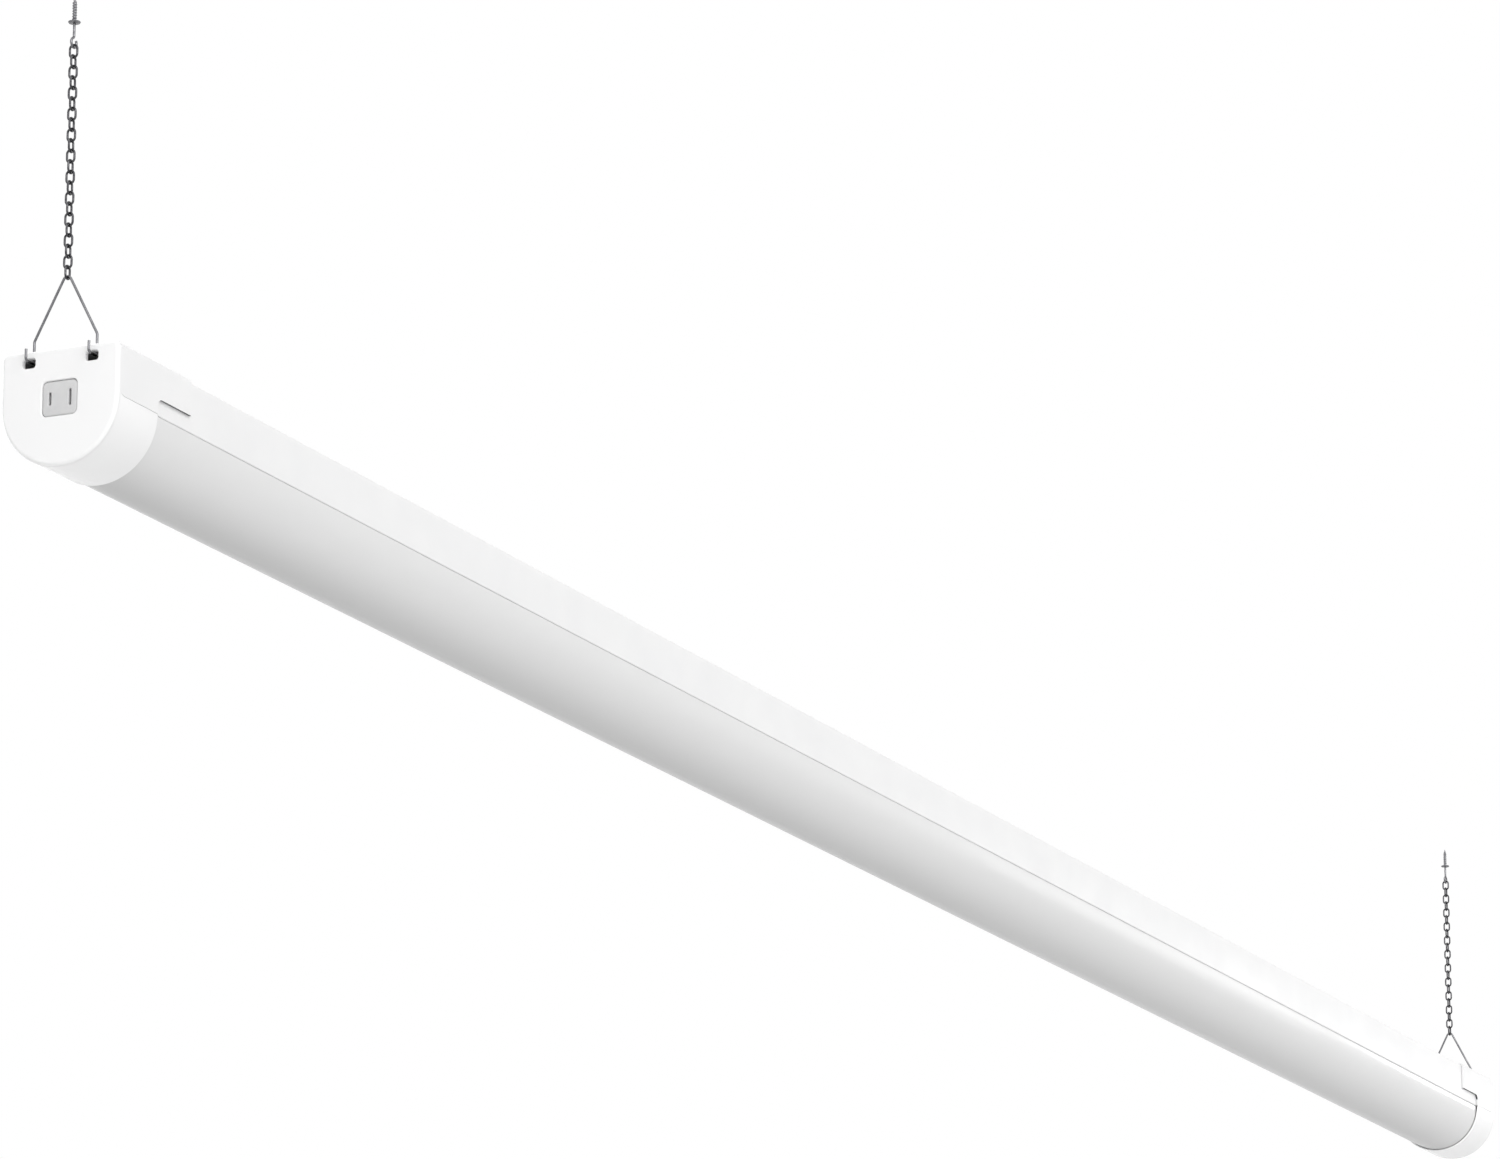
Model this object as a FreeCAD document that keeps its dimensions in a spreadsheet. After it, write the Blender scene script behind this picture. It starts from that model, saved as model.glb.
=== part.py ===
import FreeCAD, Part
import math
import os

import Sketcher
from FreeCAD import Vector

# A hanging shop light: a painted channel with a half-round frosted lens, closed by two moulded end
# caps and hung on two short chains. X runs along the lamp from its outlet end (-X) to its inlet end,
# Z is up, and the origin lies in the ceiling plane, midway between the two screw hooks.

doc = FreeCAD.newDocument("shop_light")
sheet = doc.addObject("Spreadsheet::Sheet", "sizes")

DRIVING_SIZES = [
    # The lamp's body.
    ("body_length", 2438.0, "cap face to cap face"),
    ("body_width", 74.0, "across the end caps"),
    ("wall_height", 31.0, "cap top down to the line where the lens starts"),
    ("seat_gap", 0.3, "play between pieces that sit in each other"),
    ("steel", 1.0, "housing sheet"),
    ("lip_width", 3.4, "housing's inturned lip, which carries the lens"),
    ("lens_wall", 1.2, "frosted lens"),
    ("lens_catch", 1.6, "how far the lens hooks over the housing's lip"),
    # End caps.
    ("cap_plate", 3.0, "end cap's face plate"),
    ("cap_corner", 5.0, "end cap's top corners"),
    ("cap_bevel", 2.2, "bevel of the cap's front edge"),
    ("cup_depth", 32.0, "cap face to the rim of the cup round the lens"),
    ("cup_wall", 1.4, "cup round the lens"),
    ("spigot_length", 26.0, "cap's spigot inside the housing"),
    ("spigot_wall", 1.6, "spigot"),
    ("spigot_height", 15.0, "spigot's side walls"),
    ("housing_setback", 18.2, "cap face to the housing's cut end, clear of the sockets"),
    ("lens_setback", 18.0, "cap face to the lens's cut end, clear of the sockets"),
    # Painted sleeves over the housing's ends.
    ("sleeve_length", 58.0, "sleeve"),
    ("sleeve_wall", 1.3, "sleeve"),
    ("notch_rise", 9.2, "sleeve's cut-back lower edge above the lens line, past the cup's rim"),
    # Hanger holes and wires.
    ("leg_spread", 40.0, "between a hanger's two legs"),
    ("leg_inset", 5.5, "cap face to the legs' axis"),
    ("hole_drop", 7.0, "cap top to the middle of a hanger hole"),
    ("hole_width", 8.0, "hanger hole"),
    ("hole_height", 5.5, "hanger hole"),
    ("hole_corner", 1.4, "hanger hole"),
    ("hole_play", 0.85, "hanger wire below the hole's upper edge"),
    ("leg_notch", 3.8, "notch for a leg in the sleeve and the spigot"),
    ("hanger_wire", 1.6, "hanger wire"),
    ("hanger_rise", 43.0, "cap top up to the hanger's peak"),
    ("knee_rise", 7.0, "cap top up to the hanger's knees"),
    ("peak_play", 0.3, "hanger's peak above the last link's bend"),
    ("peak_bend", 2.5, "bend at the peak"),
    ("knee_bend", 4.0, "bend at a knee"),
    ("tip_bend", 2.0, "bends of a hooked tip"),
    ("tip_reach", 3.4, "hooked tip in front of the cap's face"),
    ("tip_rise", 6.5, "hooked tip's height"),
    # Chains.
    ("link_count", 22.0, "links in a chain"),
    ("link_wire", 1.35, "chain wire"),
    ("link_length", 9.0, "link, outside"),
    ("link_width", 5.5, "link, outside"),
    ("link_play", 0.1, "between two links that pull on each other"),
    # Screw hooks.
    ("hook_wire", 1.6, "hook wire"),
    ("hook_loop", 2.8, "loop's bend, to the wire's axis"),
    ("hook_neck", 1.6, "bend from the shank into the loop"),
    ("hook_shank", 8.5, "ceiling to the start of the neck"),
    ("flange_radius", 3.6, "hook's flange"),
    ("flange_height", 1.2, "hook's flange"),
    ("thread_radius", 1.5, "hook's thread"),
    ("thread_length", 15.0, "hook's thread above the ceiling plane"),
    ("thread_point", 4.0, "the thread's tapered point"),
    # Outlet and inlet.
    ("outlet_drop", 29.0, "cap top to the middle of the outlet"),
    ("outlet_width", 22.0, "outlet and inlet"),
    ("outlet_height", 20.0, "outlet and inlet"),
    ("outlet_corner", 3.0, "outlet and inlet"),
    ("outlet_depth", 24.0, "outlet and inlet, front to back"),
    ("outlet_sink", 0.5, "outlet's front behind the cap's face"),
    ("shoulder_step", 2.0, "shoulder behind the cap's plate"),
    ("shoulder_depth", 1.5, "shoulder"),
    ("blade_spacing", 12.7, "between the two blades"),
    ("slot_width", 2.0, "outlet's slots"),
    ("slot_short", 7.4, "live slot's height"),
    ("slot_tall", 9.4, "neutral slot's height"),
    ("slot_depth", 3.0, "front wall of the outlet"),
    ("chamber_width", 4.4, "contact chamber"),
    ("chamber_height", 11.0, "contact chamber"),
    ("leaf_thick", 0.5, "brass leaf"),
    ("leaf_height", 6.0, "brass leaf"),
    ("leaf_length", 14.0, "brass leaf"),
    ("blade_thick", 1.5, "inlet's blades"),
    ("blade_height", 6.3, "inlet's blades"),
    ("blade_length", 15.0, "inlet's blades in the recess"),
    ("recess_width", 18.0, "inlet's recess"),
    ("recess_height", 13.0, "inlet's recess"),
    ("recess_depth", 17.0, "inlet's recess"),
    ("tail_drop", 22.0, "cap top to the terminals and the wires"),
    # Light engine and wiring.
    ("tray_drop", 27.0, "cap top to the underside of the tray"),
    ("tray_flange", 7.0, "tray's side flanges"),
    ("tray_setback", 34.0, "cap face to the end of the tray"),
    ("board_width", 12.0, "LED board"),
    ("board_thick", 1.0, "LED board"),
    ("board_spacing", 30.0, "between the two LED boards"),
    ("board_setback", 42.0, "cap face to the end of an LED board"),
    ("chip_side", 3.0, "LED"),
    ("chip_height", 0.8, "LED"),
    ("chip_count", 24.0, "LEDs on one board"),
    ("driver_length", 180.0, "driver case"),
    ("driver_width", 40.0, "driver case"),
    ("driver_height", 20.0, "driver case"),
    ("driver_wall", 1.5, "driver case"),
    ("pcb_thick", 1.6, "driver board"),
    ("pcb_lift", 3.0, "driver board above the tray"),
    ("wire_radius", 1.2, "mains wires"),
    ("wire_spread", 54.0, "between the mains wires along the housing"),
    ("wire_lead", 24.0, "their straight run behind the terminals"),
    ("wire_splay", 40.0, "their run from the terminals' spacing to the wide one"),
    ("wire_bend", 20.0, "their bends"),
    ("screw_radius", 1.6, "sleeve screws"),
    ("screw_head", 3.0, "sleeve screws' heads"),
    ("screw_head_height", 1.8, "sleeve screws' heads"),
    ("screw_length", 6.0, "sleeve screws' shanks"),
    ("screw_setback", 44.0, "cap face to the sleeve screws"),
    ("screw_spacing", 40.0, "between the two screws of a sleeve"),
]


class Size:
    """A length that is known as a number and as the sheet formula that it comes from."""

    def __init__(self, number, formula):
        self.number = number
        self.formula = formula

    def join(self, other, sign, number):
        formula = other.formula if isinstance(other, Size) else repr(float(other))
        return Size(number, "(%s %s %s)" % (self.formula, sign, formula))

    def __add__(self, other):
        return self.join(other, "+", self.number + value(other))

    def __sub__(self, other):
        return self.join(other, "-", self.number - value(other))

    def __mul__(self, other):
        return self.join(other, "*", self.number * value(other))

    def __truediv__(self, other):
        return self.join(other, "/", self.number / value(other))

    def __neg__(self):
        return Size(-self.number, "(0 - %s)" % self.formula)


def value(size):
    return size.number if isinstance(size, Size) else float(size)


S = {}
for row, (alias, number, note) in enumerate(DRIVING_SIZES, start=1):
    sheet.set("A%d" % row, note)
    sheet.set("B%d" % row, repr(number))
    sheet.setAlias("B%d" % row, alias)
    S[alias] = Size(number, "sizes." + alias)
doc.recompute()

# Places along X, for the near end, measured from the middle of the lamp.
half_length = S["body_length"] / 2
face_x = -half_length
plate_back = face_x + S["cap_plate"]
cup_rim = face_x + S["cup_depth"]
leg_x = face_x + S["leg_inset"]
housing_start = face_x + S["housing_setback"]

# Half widths, from the cap inwards.
half_width = S["body_width"] / 2
housing_half = half_width - S["sleeve_wall"] - S["seat_gap"]
inner_half = housing_half - S["steel"]
lens_radius = half_width - S["cup_wall"] - S["seat_gap"]
lip_half = housing_half - S["lip_width"]

# Heights, from the ceiling down: hook, chain, hanger, lamp.
neck_rise = math.sqrt(value(S["hook_loop"]) ** 2 + 2 * value(S["hook_loop"]) * value(S["hook_neck"]))
loop_z = -value(S["hook_shank"]) - neck_rise
hook_seat = loop_z - value(S["hook_loop"])
link_half = (value(S["link_length"]) - value(S["link_wire"])) / 2
link_pitch = value(S["link_length"]) - 2 * value(S["link_wire"]) - value(S["link_play"])
first_link = (hook_seat + value(S["hook_wire"]) / 2 + value(S["link_wire"]) / 2
              + value(S["link_play"]) - link_half)
last_link = first_link - (value(S["link_count"]) - 1) * link_pitch
peak_z = (last_link - link_half + value(S["link_wire"]) / 2 + value(S["hanger_wire"]) / 2
          + value(S["peak_play"]))
row = len(DRIVING_SIZES) + 1
sheet.set("A%d" % row, "ceiling down to the cap's top, which the hook, chain and hanger settle")
sheet.set("B%d" % row, repr(peak_z - value(S["hanger_rise"])))
sheet.setAlias("B%d" % row, "cap_top")
top = Size(peak_z - value(S["hanger_rise"]), "sizes.cap_top")
doc.recompute()

lens_line = top - S["wall_height"]
housing_top = top - S["sleeve_wall"] - S["seat_gap"]
hole_z = top - S["hole_drop"]
wire_z = hole_z + S["hole_height"] / 2 - S["hole_play"] - S["hanger_wire"] / 2
outlet_z = top - S["outlet_drop"]
tray_under = top - S["tray_drop"]
tail_z = top - S["tail_drop"]
leg_y = S["leg_spread"] / 2
blade_y = S["blade_spacing"] / 2


# ---------------------------------------------------------------- sketches, pads and pockets

def rectangle(left, right, low, high):
    return [(left, low), (right, low), (right, high), (left, high)]


def rounded(left, right, low, high, radius):
    """Corners of a rounded rectangle. A corner with five values starts an arc round a centre."""
    return [(left + radius, low), (right - radius, low, right - radius, low + radius, 1),
            (right, low + radius), (right, high - radius, right - radius, high - radius, 1),
            (right - radius, high), (left + radius, high, left + radius, high - radius, 1),
            (left, high - radius), (left, low + radius, left + radius, low + radius, 1)]


def bevelled(left, right, low, high, cut):
    return [(left + cut, low), (right - cut, low), (right, low + cut), (right, high - cut),
            (right - cut, high), (left + cut, high), (left, high - cut), (left, low + cut)]


def octagon(x, y, reach):
    """An eight-sided hole round a screw; reach is from its middle to a flat."""
    return bevelled(x - reach, x + reach, y - reach, y + reach, reach * (2 - math.sqrt(2)))


def arc_edge(start, end, centre, turn):
    first, last = (start, end) if turn > 0 else (end, start)
    radius = (start - centre).Length
    begin = math.atan2(first.y - centre.y, first.x - centre.x)
    finish = math.atan2(last.y - centre.y, last.x - centre.x)
    if finish <= begin:
        finish += 2 * math.pi
    return Part.ArcOfCircle(Part.Circle(centre, Vector(0, 0, 1), radius), begin, finish)


def pin_coordinate(sketch, kind, geometry, point, size):
    index = sketch.addConstraint(Sketcher.Constraint(kind, -1, 1, geometry, point, value(size)))
    if isinstance(size, Size):
        sketch.setExpression("Constraints[%d]" % index, size.formula)


def draw_loop(sketch, corners):
    """Draws one closed outline. Every corner is pinned to the sheet, and so is every arc's centre."""
    points = [Vector(value(corner[0]), value(corner[1]), 0) for corner in corners]
    ends = []
    for index, corner in enumerate(corners):
        start, end = points[index], points[(index + 1) % len(points)]
        if len(corner) == 2:
            ends.append((sketch.addGeometry(Part.LineSegment(start, end)), 1, 2))
            continue
        centre = Vector(value(corner[2]), value(corner[3]), 0)
        arc = sketch.addGeometry(arc_edge(start, end, centre, corner[4]))
        ends.append((arc, 1, 2) if corner[4] > 0 else (arc, 2, 1))
        chord = end - start
        if abs(chord.x) > abs(chord.y):
            pin_coordinate(sketch, "DistanceY", arc, 3, corner[3])
        else:
            pin_coordinate(sketch, "DistanceX", arc, 3, corner[2])
    for index, (edge, first, _) in enumerate(ends):
        before, _, last = ends[index - 1]
        sketch.addConstraint(Sketcher.Constraint("Coincident", before, last, edge, first))
        pin_coordinate(sketch, "DistanceX", edge, first, corners[index][0])
        pin_coordinate(sketch, "DistanceY", edge, first, corners[index][1])


def new_body(label):
    body = doc.addObject("PartDesign::Body", label)
    body.Label = label
    return body


def new_sketch(body, name, plane, start, loops):
    sketch = body.newObject("Sketcher::SketchObject", name)
    planes = [item for item in body.Origin.OriginFeatures if item.Role == plane]
    sketch.AttachmentSupport = [(planes[0], "")]
    sketch.MapMode = "FlatFace"
    if isinstance(start, Size):
        sketch.setExpression("AttachmentOffset.Base.z", start.formula)
    for corners in loops:
        draw_loop(sketch, corners)
    return sketch


def add_feature(body, kind, name, plane, start, length, loops):
    feature = body.newObject("PartDesign::" + kind, name)
    feature.Profile = new_sketch(body, name + "_outline", plane, start, loops)
    feature.setExpression("Length", length.formula)
    if kind == "Pocket":
        feature.Reversed = True
    doc.recompute()
    return feature


def pad(body, name, plane, start, length, *loops):
    """Adds material from a plane at start, along the plane's normal."""
    return add_feature(body, "Pad", name, plane, start, length, loops)


def pocket(body, name, plane, start, length, *loops):
    """Cuts material from a plane at start, along the plane's normal."""
    before = body.Shape.Volume
    feature = add_feature(body, "Pocket", name, plane, start, length, loops)
    if body.Shape.Volume > before - 1e-3:
        raise RuntimeError(name + " cut nothing")
    return feature


def mirrored(source, label):
    copy = doc.addObject("Part::Mirroring", label)
    copy.Label = label
    copy.Source = source
    copy.Normal = Vector(1, 0, 0)
    return copy


def solid_feature(label, shape):
    feature = doc.addObject("Part::Feature", label)
    feature.Label = label
    feature.Shape = shape
    return feature


def bent_route(points, radii, steps):
    """The points of a wire that runs straight from corner to corner, each corner bent in a few steps."""
    route = [points[0]]
    for index in range(1, len(points) - 1):
        corner = points[index]
        inward = (points[index - 1] - corner).normalize()
        onward = (points[index + 1] - corner).normalize()
        half_angle = inward.getAngle(onward) / 2
        radius = radii[index - 1]
        centre = corner + (inward + onward).normalize() * (radius / math.sin(half_angle))
        run = radius / math.tan(half_angle)
        first = corner + inward * run - centre
        axis = first.cross(corner + onward * run - centre).normalize()
        turn = 180 - 2 * math.degrees(half_angle)
        for step in range(steps + 1):
            route.append(centre + FreeCAD.Rotation(axis, turn * step / steps).multVec(first))
    return route + [points[-1]]


def faceted_bar(route, radius, sides, closed=False):
    """A drawn wire with a many-sided section, mitred at each point of its route."""
    start = (route[0] + route[1]) * 0.5 if closed else route[0]
    line = [start] + route[1:] + [route[0], start] if closed else route
    direction = (line[1] - line[0]).normalize()
    across = direction.cross(Vector(0, 1, 0) if abs(direction.y) < 0.9 else Vector(1, 0, 0)).normalize()
    corners = [start + FreeCAD.Rotation(direction, 360.0 * (side % sides) / sides).multVec(across) * radius
               for side in range(sides + 1)]
    return Part.makePolygon(line).makePipeShell([Part.makePolygon(corners)], True, False, 1)


# ---------------------------------------------------------------- housing, lens and sleeves

def d_outline(half, high, line, corner):
    """The end-on outline of the lamp: flat top, upright sides and a half-round underside."""
    return [(half - corner, high), (corner - half, high, corner - half, high - corner, 1),
            (-half, high - corner), (-half, line, 0, line, 1), (half, line),
            (half, high - corner, half - corner, high - corner, 1)]


def channel(half, inside, high, low):
    """A U profile, open below, with square edges."""
    roof = high - (half - inside)
    return [(-half, low), (-inside, low), (-inside, roof), (inside, roof), (inside, low), (half, low),
            (half, high), (-half, high)]


def make_housing():
    """A folded steel channel whose inturned lips carry the lens."""
    body = new_body("housing")
    roof = housing_top - S["steel"]
    lip_top = lens_line + S["steel"]
    profile = [(-housing_half, lens_line), (-lip_half, lens_line), (-lip_half, lip_top),
               (-inner_half, lip_top), (-inner_half, roof), (inner_half, roof), (inner_half, lip_top),
               (lip_half, lip_top), (lip_half, lens_line), (housing_half, lens_line),
               (housing_half, housing_top), (-housing_half, housing_top)]
    pad(body, "channel", "YZ_Plane", housing_start, -housing_start * 2, profile)
    far_x = half_length - S["screw_setback"]
    reach = S["screw_radius"] + S["seat_gap"]
    holes = [octagon(x, y, reach) for x in (-far_x, far_x)
             for y in (-S["screw_spacing"] / 2, S["screw_spacing"] / 2)]
    pocket(body, "screw_holes", "XY_Plane", roof - S["seat_gap"], S["steel"] + S["seat_gap"] * 2, *holes)
    return body


def make_lens():
    """A half-round frosted extrusion that hooks over the housing's lips."""
    body = new_body("lens")
    inner = lens_radius - S["lens_wall"]
    line = lens_line - S["seat_gap"]
    foot = line - S["lens_wall"]
    hook_out = lip_half - S["seat_gap"]
    hook_in = hook_out - S["lens_wall"]
    catch_low = lens_line + S["steel"] + S["seat_gap"]
    catch_top = catch_low + S["lens_wall"]
    catch_tip = hook_out + S["lens_catch"]
    profile = [(-lens_radius, line, 0, line, 1), (lens_radius, line), (hook_out, line),
               (hook_out, catch_low), (catch_tip, catch_low), (catch_tip, catch_top),
               (hook_in, catch_top), (hook_in, foot),
               (inner_foot(inner), foot, 0, line, -1), (-inner_foot(inner), foot),
               (-hook_in, foot), (-hook_in, catch_top), (-catch_tip, catch_top),
               (-catch_tip, catch_low), (-hook_out, catch_low), (-hook_out, line)]
    start = face_x + S["lens_setback"]
    pad(body, "lens_extrusion", "YZ_Plane", start, -start * 2, profile)
    return body


def inner_foot(inner):
    """Half width of the lens's inside where its wall meets the thick foot under the lip."""
    drop = value(S["lens_wall"])
    number = math.sqrt(inner.number ** 2 - drop ** 2)
    return Size(number, "sqrt(%s ^ 2 - sizes.lens_wall ^ 2)" % inner.formula)


def make_sleeve():
    """A painted steel sleeve over the housing's end, cut back along its lower edge past the cup."""
    body = new_body("end_sleeve_near")
    low = lens_line + S["seat_gap"]
    profile = channel(half_width, half_width - S["sleeve_wall"], top, low)
    pad(body, "sleeve", "YZ_Plane", plate_back, S["sleeve_length"], profile)
    wide = half_width + S["seat_gap"]
    pocket(body, "edge_notch", "YZ_Plane", cup_rim, S["sleeve_length"],
           rectangle(-wide, wide, lens_line, lens_line + S["notch_rise"]))
    notch = S["leg_notch"] / 2
    legs = [rectangle(plate_back - S["seat_gap"], leg_x + S["leg_notch"], y - notch, y + notch)
            for y in (-leg_y, leg_y)]
    pocket(body, "leg_notches", "XY_Plane", top - S["sleeve_wall"] * 2, S["sleeve_wall"] * 3, *legs)
    screw_x = face_x + S["screw_setback"]
    reach = S["screw_radius"] + S["seat_gap"]
    holes = [octagon(screw_x, y, reach) for y in (-S["screw_spacing"] / 2, S["screw_spacing"] / 2)]
    pocket(body, "screw_holes", "XY_Plane", top - S["sleeve_wall"] * 2, S["sleeve_wall"] * 3, *holes)
    return body


# ---------------------------------------------------------------- end caps

def make_end_cap():
    """A moulded cap: face plate, deep cup round the lens and a spigot inside the housing."""
    body = new_body("end_cap_near")
    pad(body, "face_plate", "YZ_Plane", face_x, S["cap_plate"],
        d_outline(half_width, top, lens_line, S["cap_corner"]))
    inner = half_width - S["cup_wall"]
    cup = [(-half_width, lens_line, 0, lens_line, 1), (half_width, lens_line),
           (inner, lens_line, 0, lens_line, -1), (-inner, lens_line)]
    pad(body, "cup", "YZ_Plane", plate_back, S["cup_depth"] - S["cap_plate"], cup)
    spigot_half = inner_half - S["seat_gap"]
    spigot_top = housing_top - S["steel"] - S["seat_gap"]
    spigot = channel(spigot_half, spigot_half - S["spigot_wall"], spigot_top,
                     spigot_top - S["spigot_height"])
    pad(body, "spigot", "YZ_Plane", plate_back, S["spigot_length"], spigot)
    half_hole = S["hole_width"] / 2
    holes = [bevelled(y - half_hole, y + half_hole, hole_z - S["hole_height"] / 2,
                      hole_z + S["hole_height"] / 2, S["hole_corner"]) for y in (-leg_y, leg_y)]
    pocket(body, "hanger_holes", "YZ_Plane", face_x - S["seat_gap"],
           S["cap_plate"] + S["seat_gap"] * 2, *holes)
    wide = S["outlet_width"] / 2 + S["seat_gap"]
    tall = S["outlet_height"] / 2 + S["seat_gap"]
    pocket(body, "outlet_opening", "YZ_Plane", face_x - S["seat_gap"],
           S["cap_plate"] + S["seat_gap"] * 2,
           rounded(-wide, wide, outlet_z - tall, outlet_z + tall, S["outlet_corner"]))
    notch = S["leg_notch"] / 2
    legs = [rectangle(plate_back, leg_x + S["leg_notch"], y - notch, y + notch)
            for y in (-leg_y, leg_y)]
    pocket(body, "leg_notches", "XY_Plane", spigot_top - S["spigot_wall"] * 2,
           S["spigot_wall"] * 3, *legs)
    bevel_front_edge(body)
    return body


def bevel_front_edge(body):
    """Bevels the outer edge of the cap's face, not the edges of its holes."""
    tip = body.Tip
    names = []
    for number, edge in enumerate(tip.Shape.Edges, start=1):
        box = edge.BoundBox
        on_face = abs(box.XMin - face_x.number) < 1e-4 and abs(box.XMax - face_x.number) < 1e-4
        middle = edge.valueAt((edge.FirstParameter + edge.LastParameter) / 2)
        on_side = abs(middle.y) > half_width.number - S["cap_corner"].number
        on_top = abs(middle.z - top.number) < 1e-4
        below = math.hypot(middle.y, middle.z - lens_line.number) > half_width.number - 0.01
        if on_face and (on_side or on_top or (middle.z < lens_line.number and below)):
            names.append("Edge%d" % number)
    bevel = body.newObject("PartDesign::Chamfer", "bevelled_front")
    bevel.Base = (tip, names)
    bevel.setExpression("Size", S["cap_bevel"].formula)
    doc.recompute()


# ---------------------------------------------------------------- outlet and inlet

def make_outlet():
    """The two-slot outlet at the near end, which feeds the next lamp."""
    body = new_body("outlet_body")
    wide, tall = S["outlet_width"] / 2, S["outlet_height"] / 2
    front = face_x + S["outlet_sink"]
    pad(body, "block", "YZ_Plane", front, S["outlet_depth"],
        rounded(-wide, wide, outlet_z - tall, outlet_z + tall, S["outlet_corner"]))
    step = S["shoulder_step"]
    pad(body, "shoulder", "YZ_Plane", plate_back, S["shoulder_depth"],
        rectangle(-wide - step, wide + step, outlet_z - tall - step, outlet_z + tall + step))
    half_slot = S["slot_width"] / 2
    slots = [rectangle(y - half_slot, y + half_slot, outlet_z - height / 2, outlet_z + height / 2)
             for y, height in ((blade_y, S["slot_short"]), (-blade_y, S["slot_tall"]))]
    pocket(body, "slots", "YZ_Plane", front - S["seat_gap"],
           S["slot_depth"] + S["seat_gap"] * 2, *slots)
    half_chamber = S["chamber_width"] / 2
    chambers = [rectangle(y - half_chamber, y + half_chamber, outlet_z - S["chamber_height"] / 2,
                          outlet_z + S["chamber_height"] / 2) for y in (blade_y, -blade_y)]
    pocket(body, "chambers", "YZ_Plane", front + S["slot_depth"], S["outlet_depth"], *chambers)
    return body


def make_contact(label, y):
    """A folded brass contact: two leaves that grip a blade, a bridge and a terminal tail."""
    body = new_body(label)
    back = face_x + S["outlet_sink"] + S["outlet_depth"]
    front = back - S["leaf_length"]
    outer = S["chamber_width"] / 2 - S["seat_gap"] / 3
    inner = outer - S["leaf_thick"]
    low = outlet_z - S["leaf_height"] / 2
    fork = [(front, y - outer), (back + S["leaf_thick"], y - outer),
            (back + S["leaf_thick"], y + outer), (front, y + outer), (front, y + inner),
            (back, y + inner), (back, y - inner), (front, y - inner)]
    pad(body, "leaves", "XY_Plane", low, S["leaf_height"], fork)
    half_tail = S["leaf_height"] / 3
    pad(body, "tail", "XY_Plane", low, tail_z + S["wire_radius"] - low,
        rectangle(back, back + S["leaf_thick"], y - half_tail / 2, y + half_tail / 2))
    return body


def make_inlet():
    """The recessed inlet at the far end, which takes the supply lead."""
    body = new_body("inlet_body")
    wide, tall = S["outlet_width"] / 2, S["outlet_height"] / 2
    front = half_length - S["outlet_sink"]
    back = front - S["outlet_depth"]
    pad(body, "block", "YZ_Plane", back, S["outlet_depth"],
        rounded(-wide, wide, outlet_z - tall, outlet_z + tall, S["outlet_corner"]))
    step = S["shoulder_step"]
    pad(body, "shoulder", "YZ_Plane", half_length - S["cap_plate"] - S["shoulder_depth"],
        S["shoulder_depth"],
        rectangle(-wide - step, wide + step, outlet_z - tall - step, outlet_z + tall + step))
    half_recess = S["recess_width"] / 2
    pocket(body, "recess", "YZ_Plane", front - S["recess_depth"], S["recess_depth"] + S["seat_gap"],
           bevelled(-half_recess, half_recess, outlet_z - S["recess_height"] / 2,
                    outlet_z + S["recess_height"] / 2, S["outlet_corner"] / 3))
    return body


def inlet_floor():
    return half_length - S["outlet_sink"] - S["recess_depth"]


def make_blade_holes(body):
    half_blade, half_tall = S["blade_thick"] / 2, S["blade_height"] / 2
    play = S["seat_gap"] / 3
    holes = [rectangle(y - half_blade - play, y + half_blade + play, outlet_z - half_tall - play,
                       outlet_z + half_tall + play) for y in (blade_y, -blade_y)]
    back = half_length - S["outlet_sink"] - S["outlet_depth"]
    pocket(body, "blade_holes", "YZ_Plane", back - S["seat_gap"],
           S["outlet_depth"] - S["recess_depth"] + S["seat_gap"] * 2, *holes)


def make_blade(label, y):
    """A flat brass blade, with its terminal tail behind the inlet."""
    body = new_body(label)
    back = half_length - S["outlet_sink"] - S["outlet_depth"] - S["leaf_thick"]
    half_blade, half_tall = S["blade_thick"] / 2, S["blade_height"] / 2
    pad(body, "blade", "YZ_Plane", back, inlet_floor() + S["blade_length"] - back,
        rectangle(y - half_blade, y + half_blade, outlet_z - half_tall, outlet_z + half_tall))
    half_tail = S["leaf_height"] / 6
    pad(body, "tail", "XY_Plane", outlet_z, tail_z + S["wire_radius"] - outlet_z,
        rectangle(back - S["leaf_thick"], back, y - half_tail, y + half_tail))
    return body


# ---------------------------------------------------------------- light engine and wiring

def make_tray():
    """The folded tray that closes the housing and carries the LED boards."""
    body = new_body("led_tray")
    half = inner_half - S["seat_gap"]
    inside = half - S["steel"]
    floor_top = tray_under + S["steel"]
    flange_top = tray_under + S["tray_flange"]
    start = face_x + S["tray_setback"]
    profile = [(-half, tray_under), (half, tray_under), (half, flange_top), (inside, flange_top),
               (inside, floor_top), (-inside, floor_top), (-inside, flange_top), (-half, flange_top)]
    pad(body, "tray", "YZ_Plane", start, -start * 2, profile)
    return body


def make_board(label, y):
    body = new_body(label)
    start = face_x + S["board_setback"]
    half = S["board_width"] / 2
    pad(body, "board", "YZ_Plane", start, -start * 2,
        rectangle(y - half, y + half, tray_under - S["board_thick"], tray_under))
    return body


def make_chips():
    """Rows of surface-mounted LEDs under the two boards."""
    count = int(value(S["chip_count"]))
    side, height = value(S["chip_side"]), value(S["chip_height"])
    low = tray_under.number - value(S["board_thick"]) - height
    run = 2 * (half_length.number - value(S["board_setback"])) - 4 * side
    chips = []
    for y in (-value(S["board_spacing"]) / 2, value(S["board_spacing"]) / 2):
        for index in range(count):
            x = run * (index / (count - 1) - 0.5)
            chips.append(Part.makeBox(side, side, height, Vector(x - side / 2, y - side / 2, low)))
    return solid_feature("led_chips", Part.makeCompound(chips))


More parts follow.
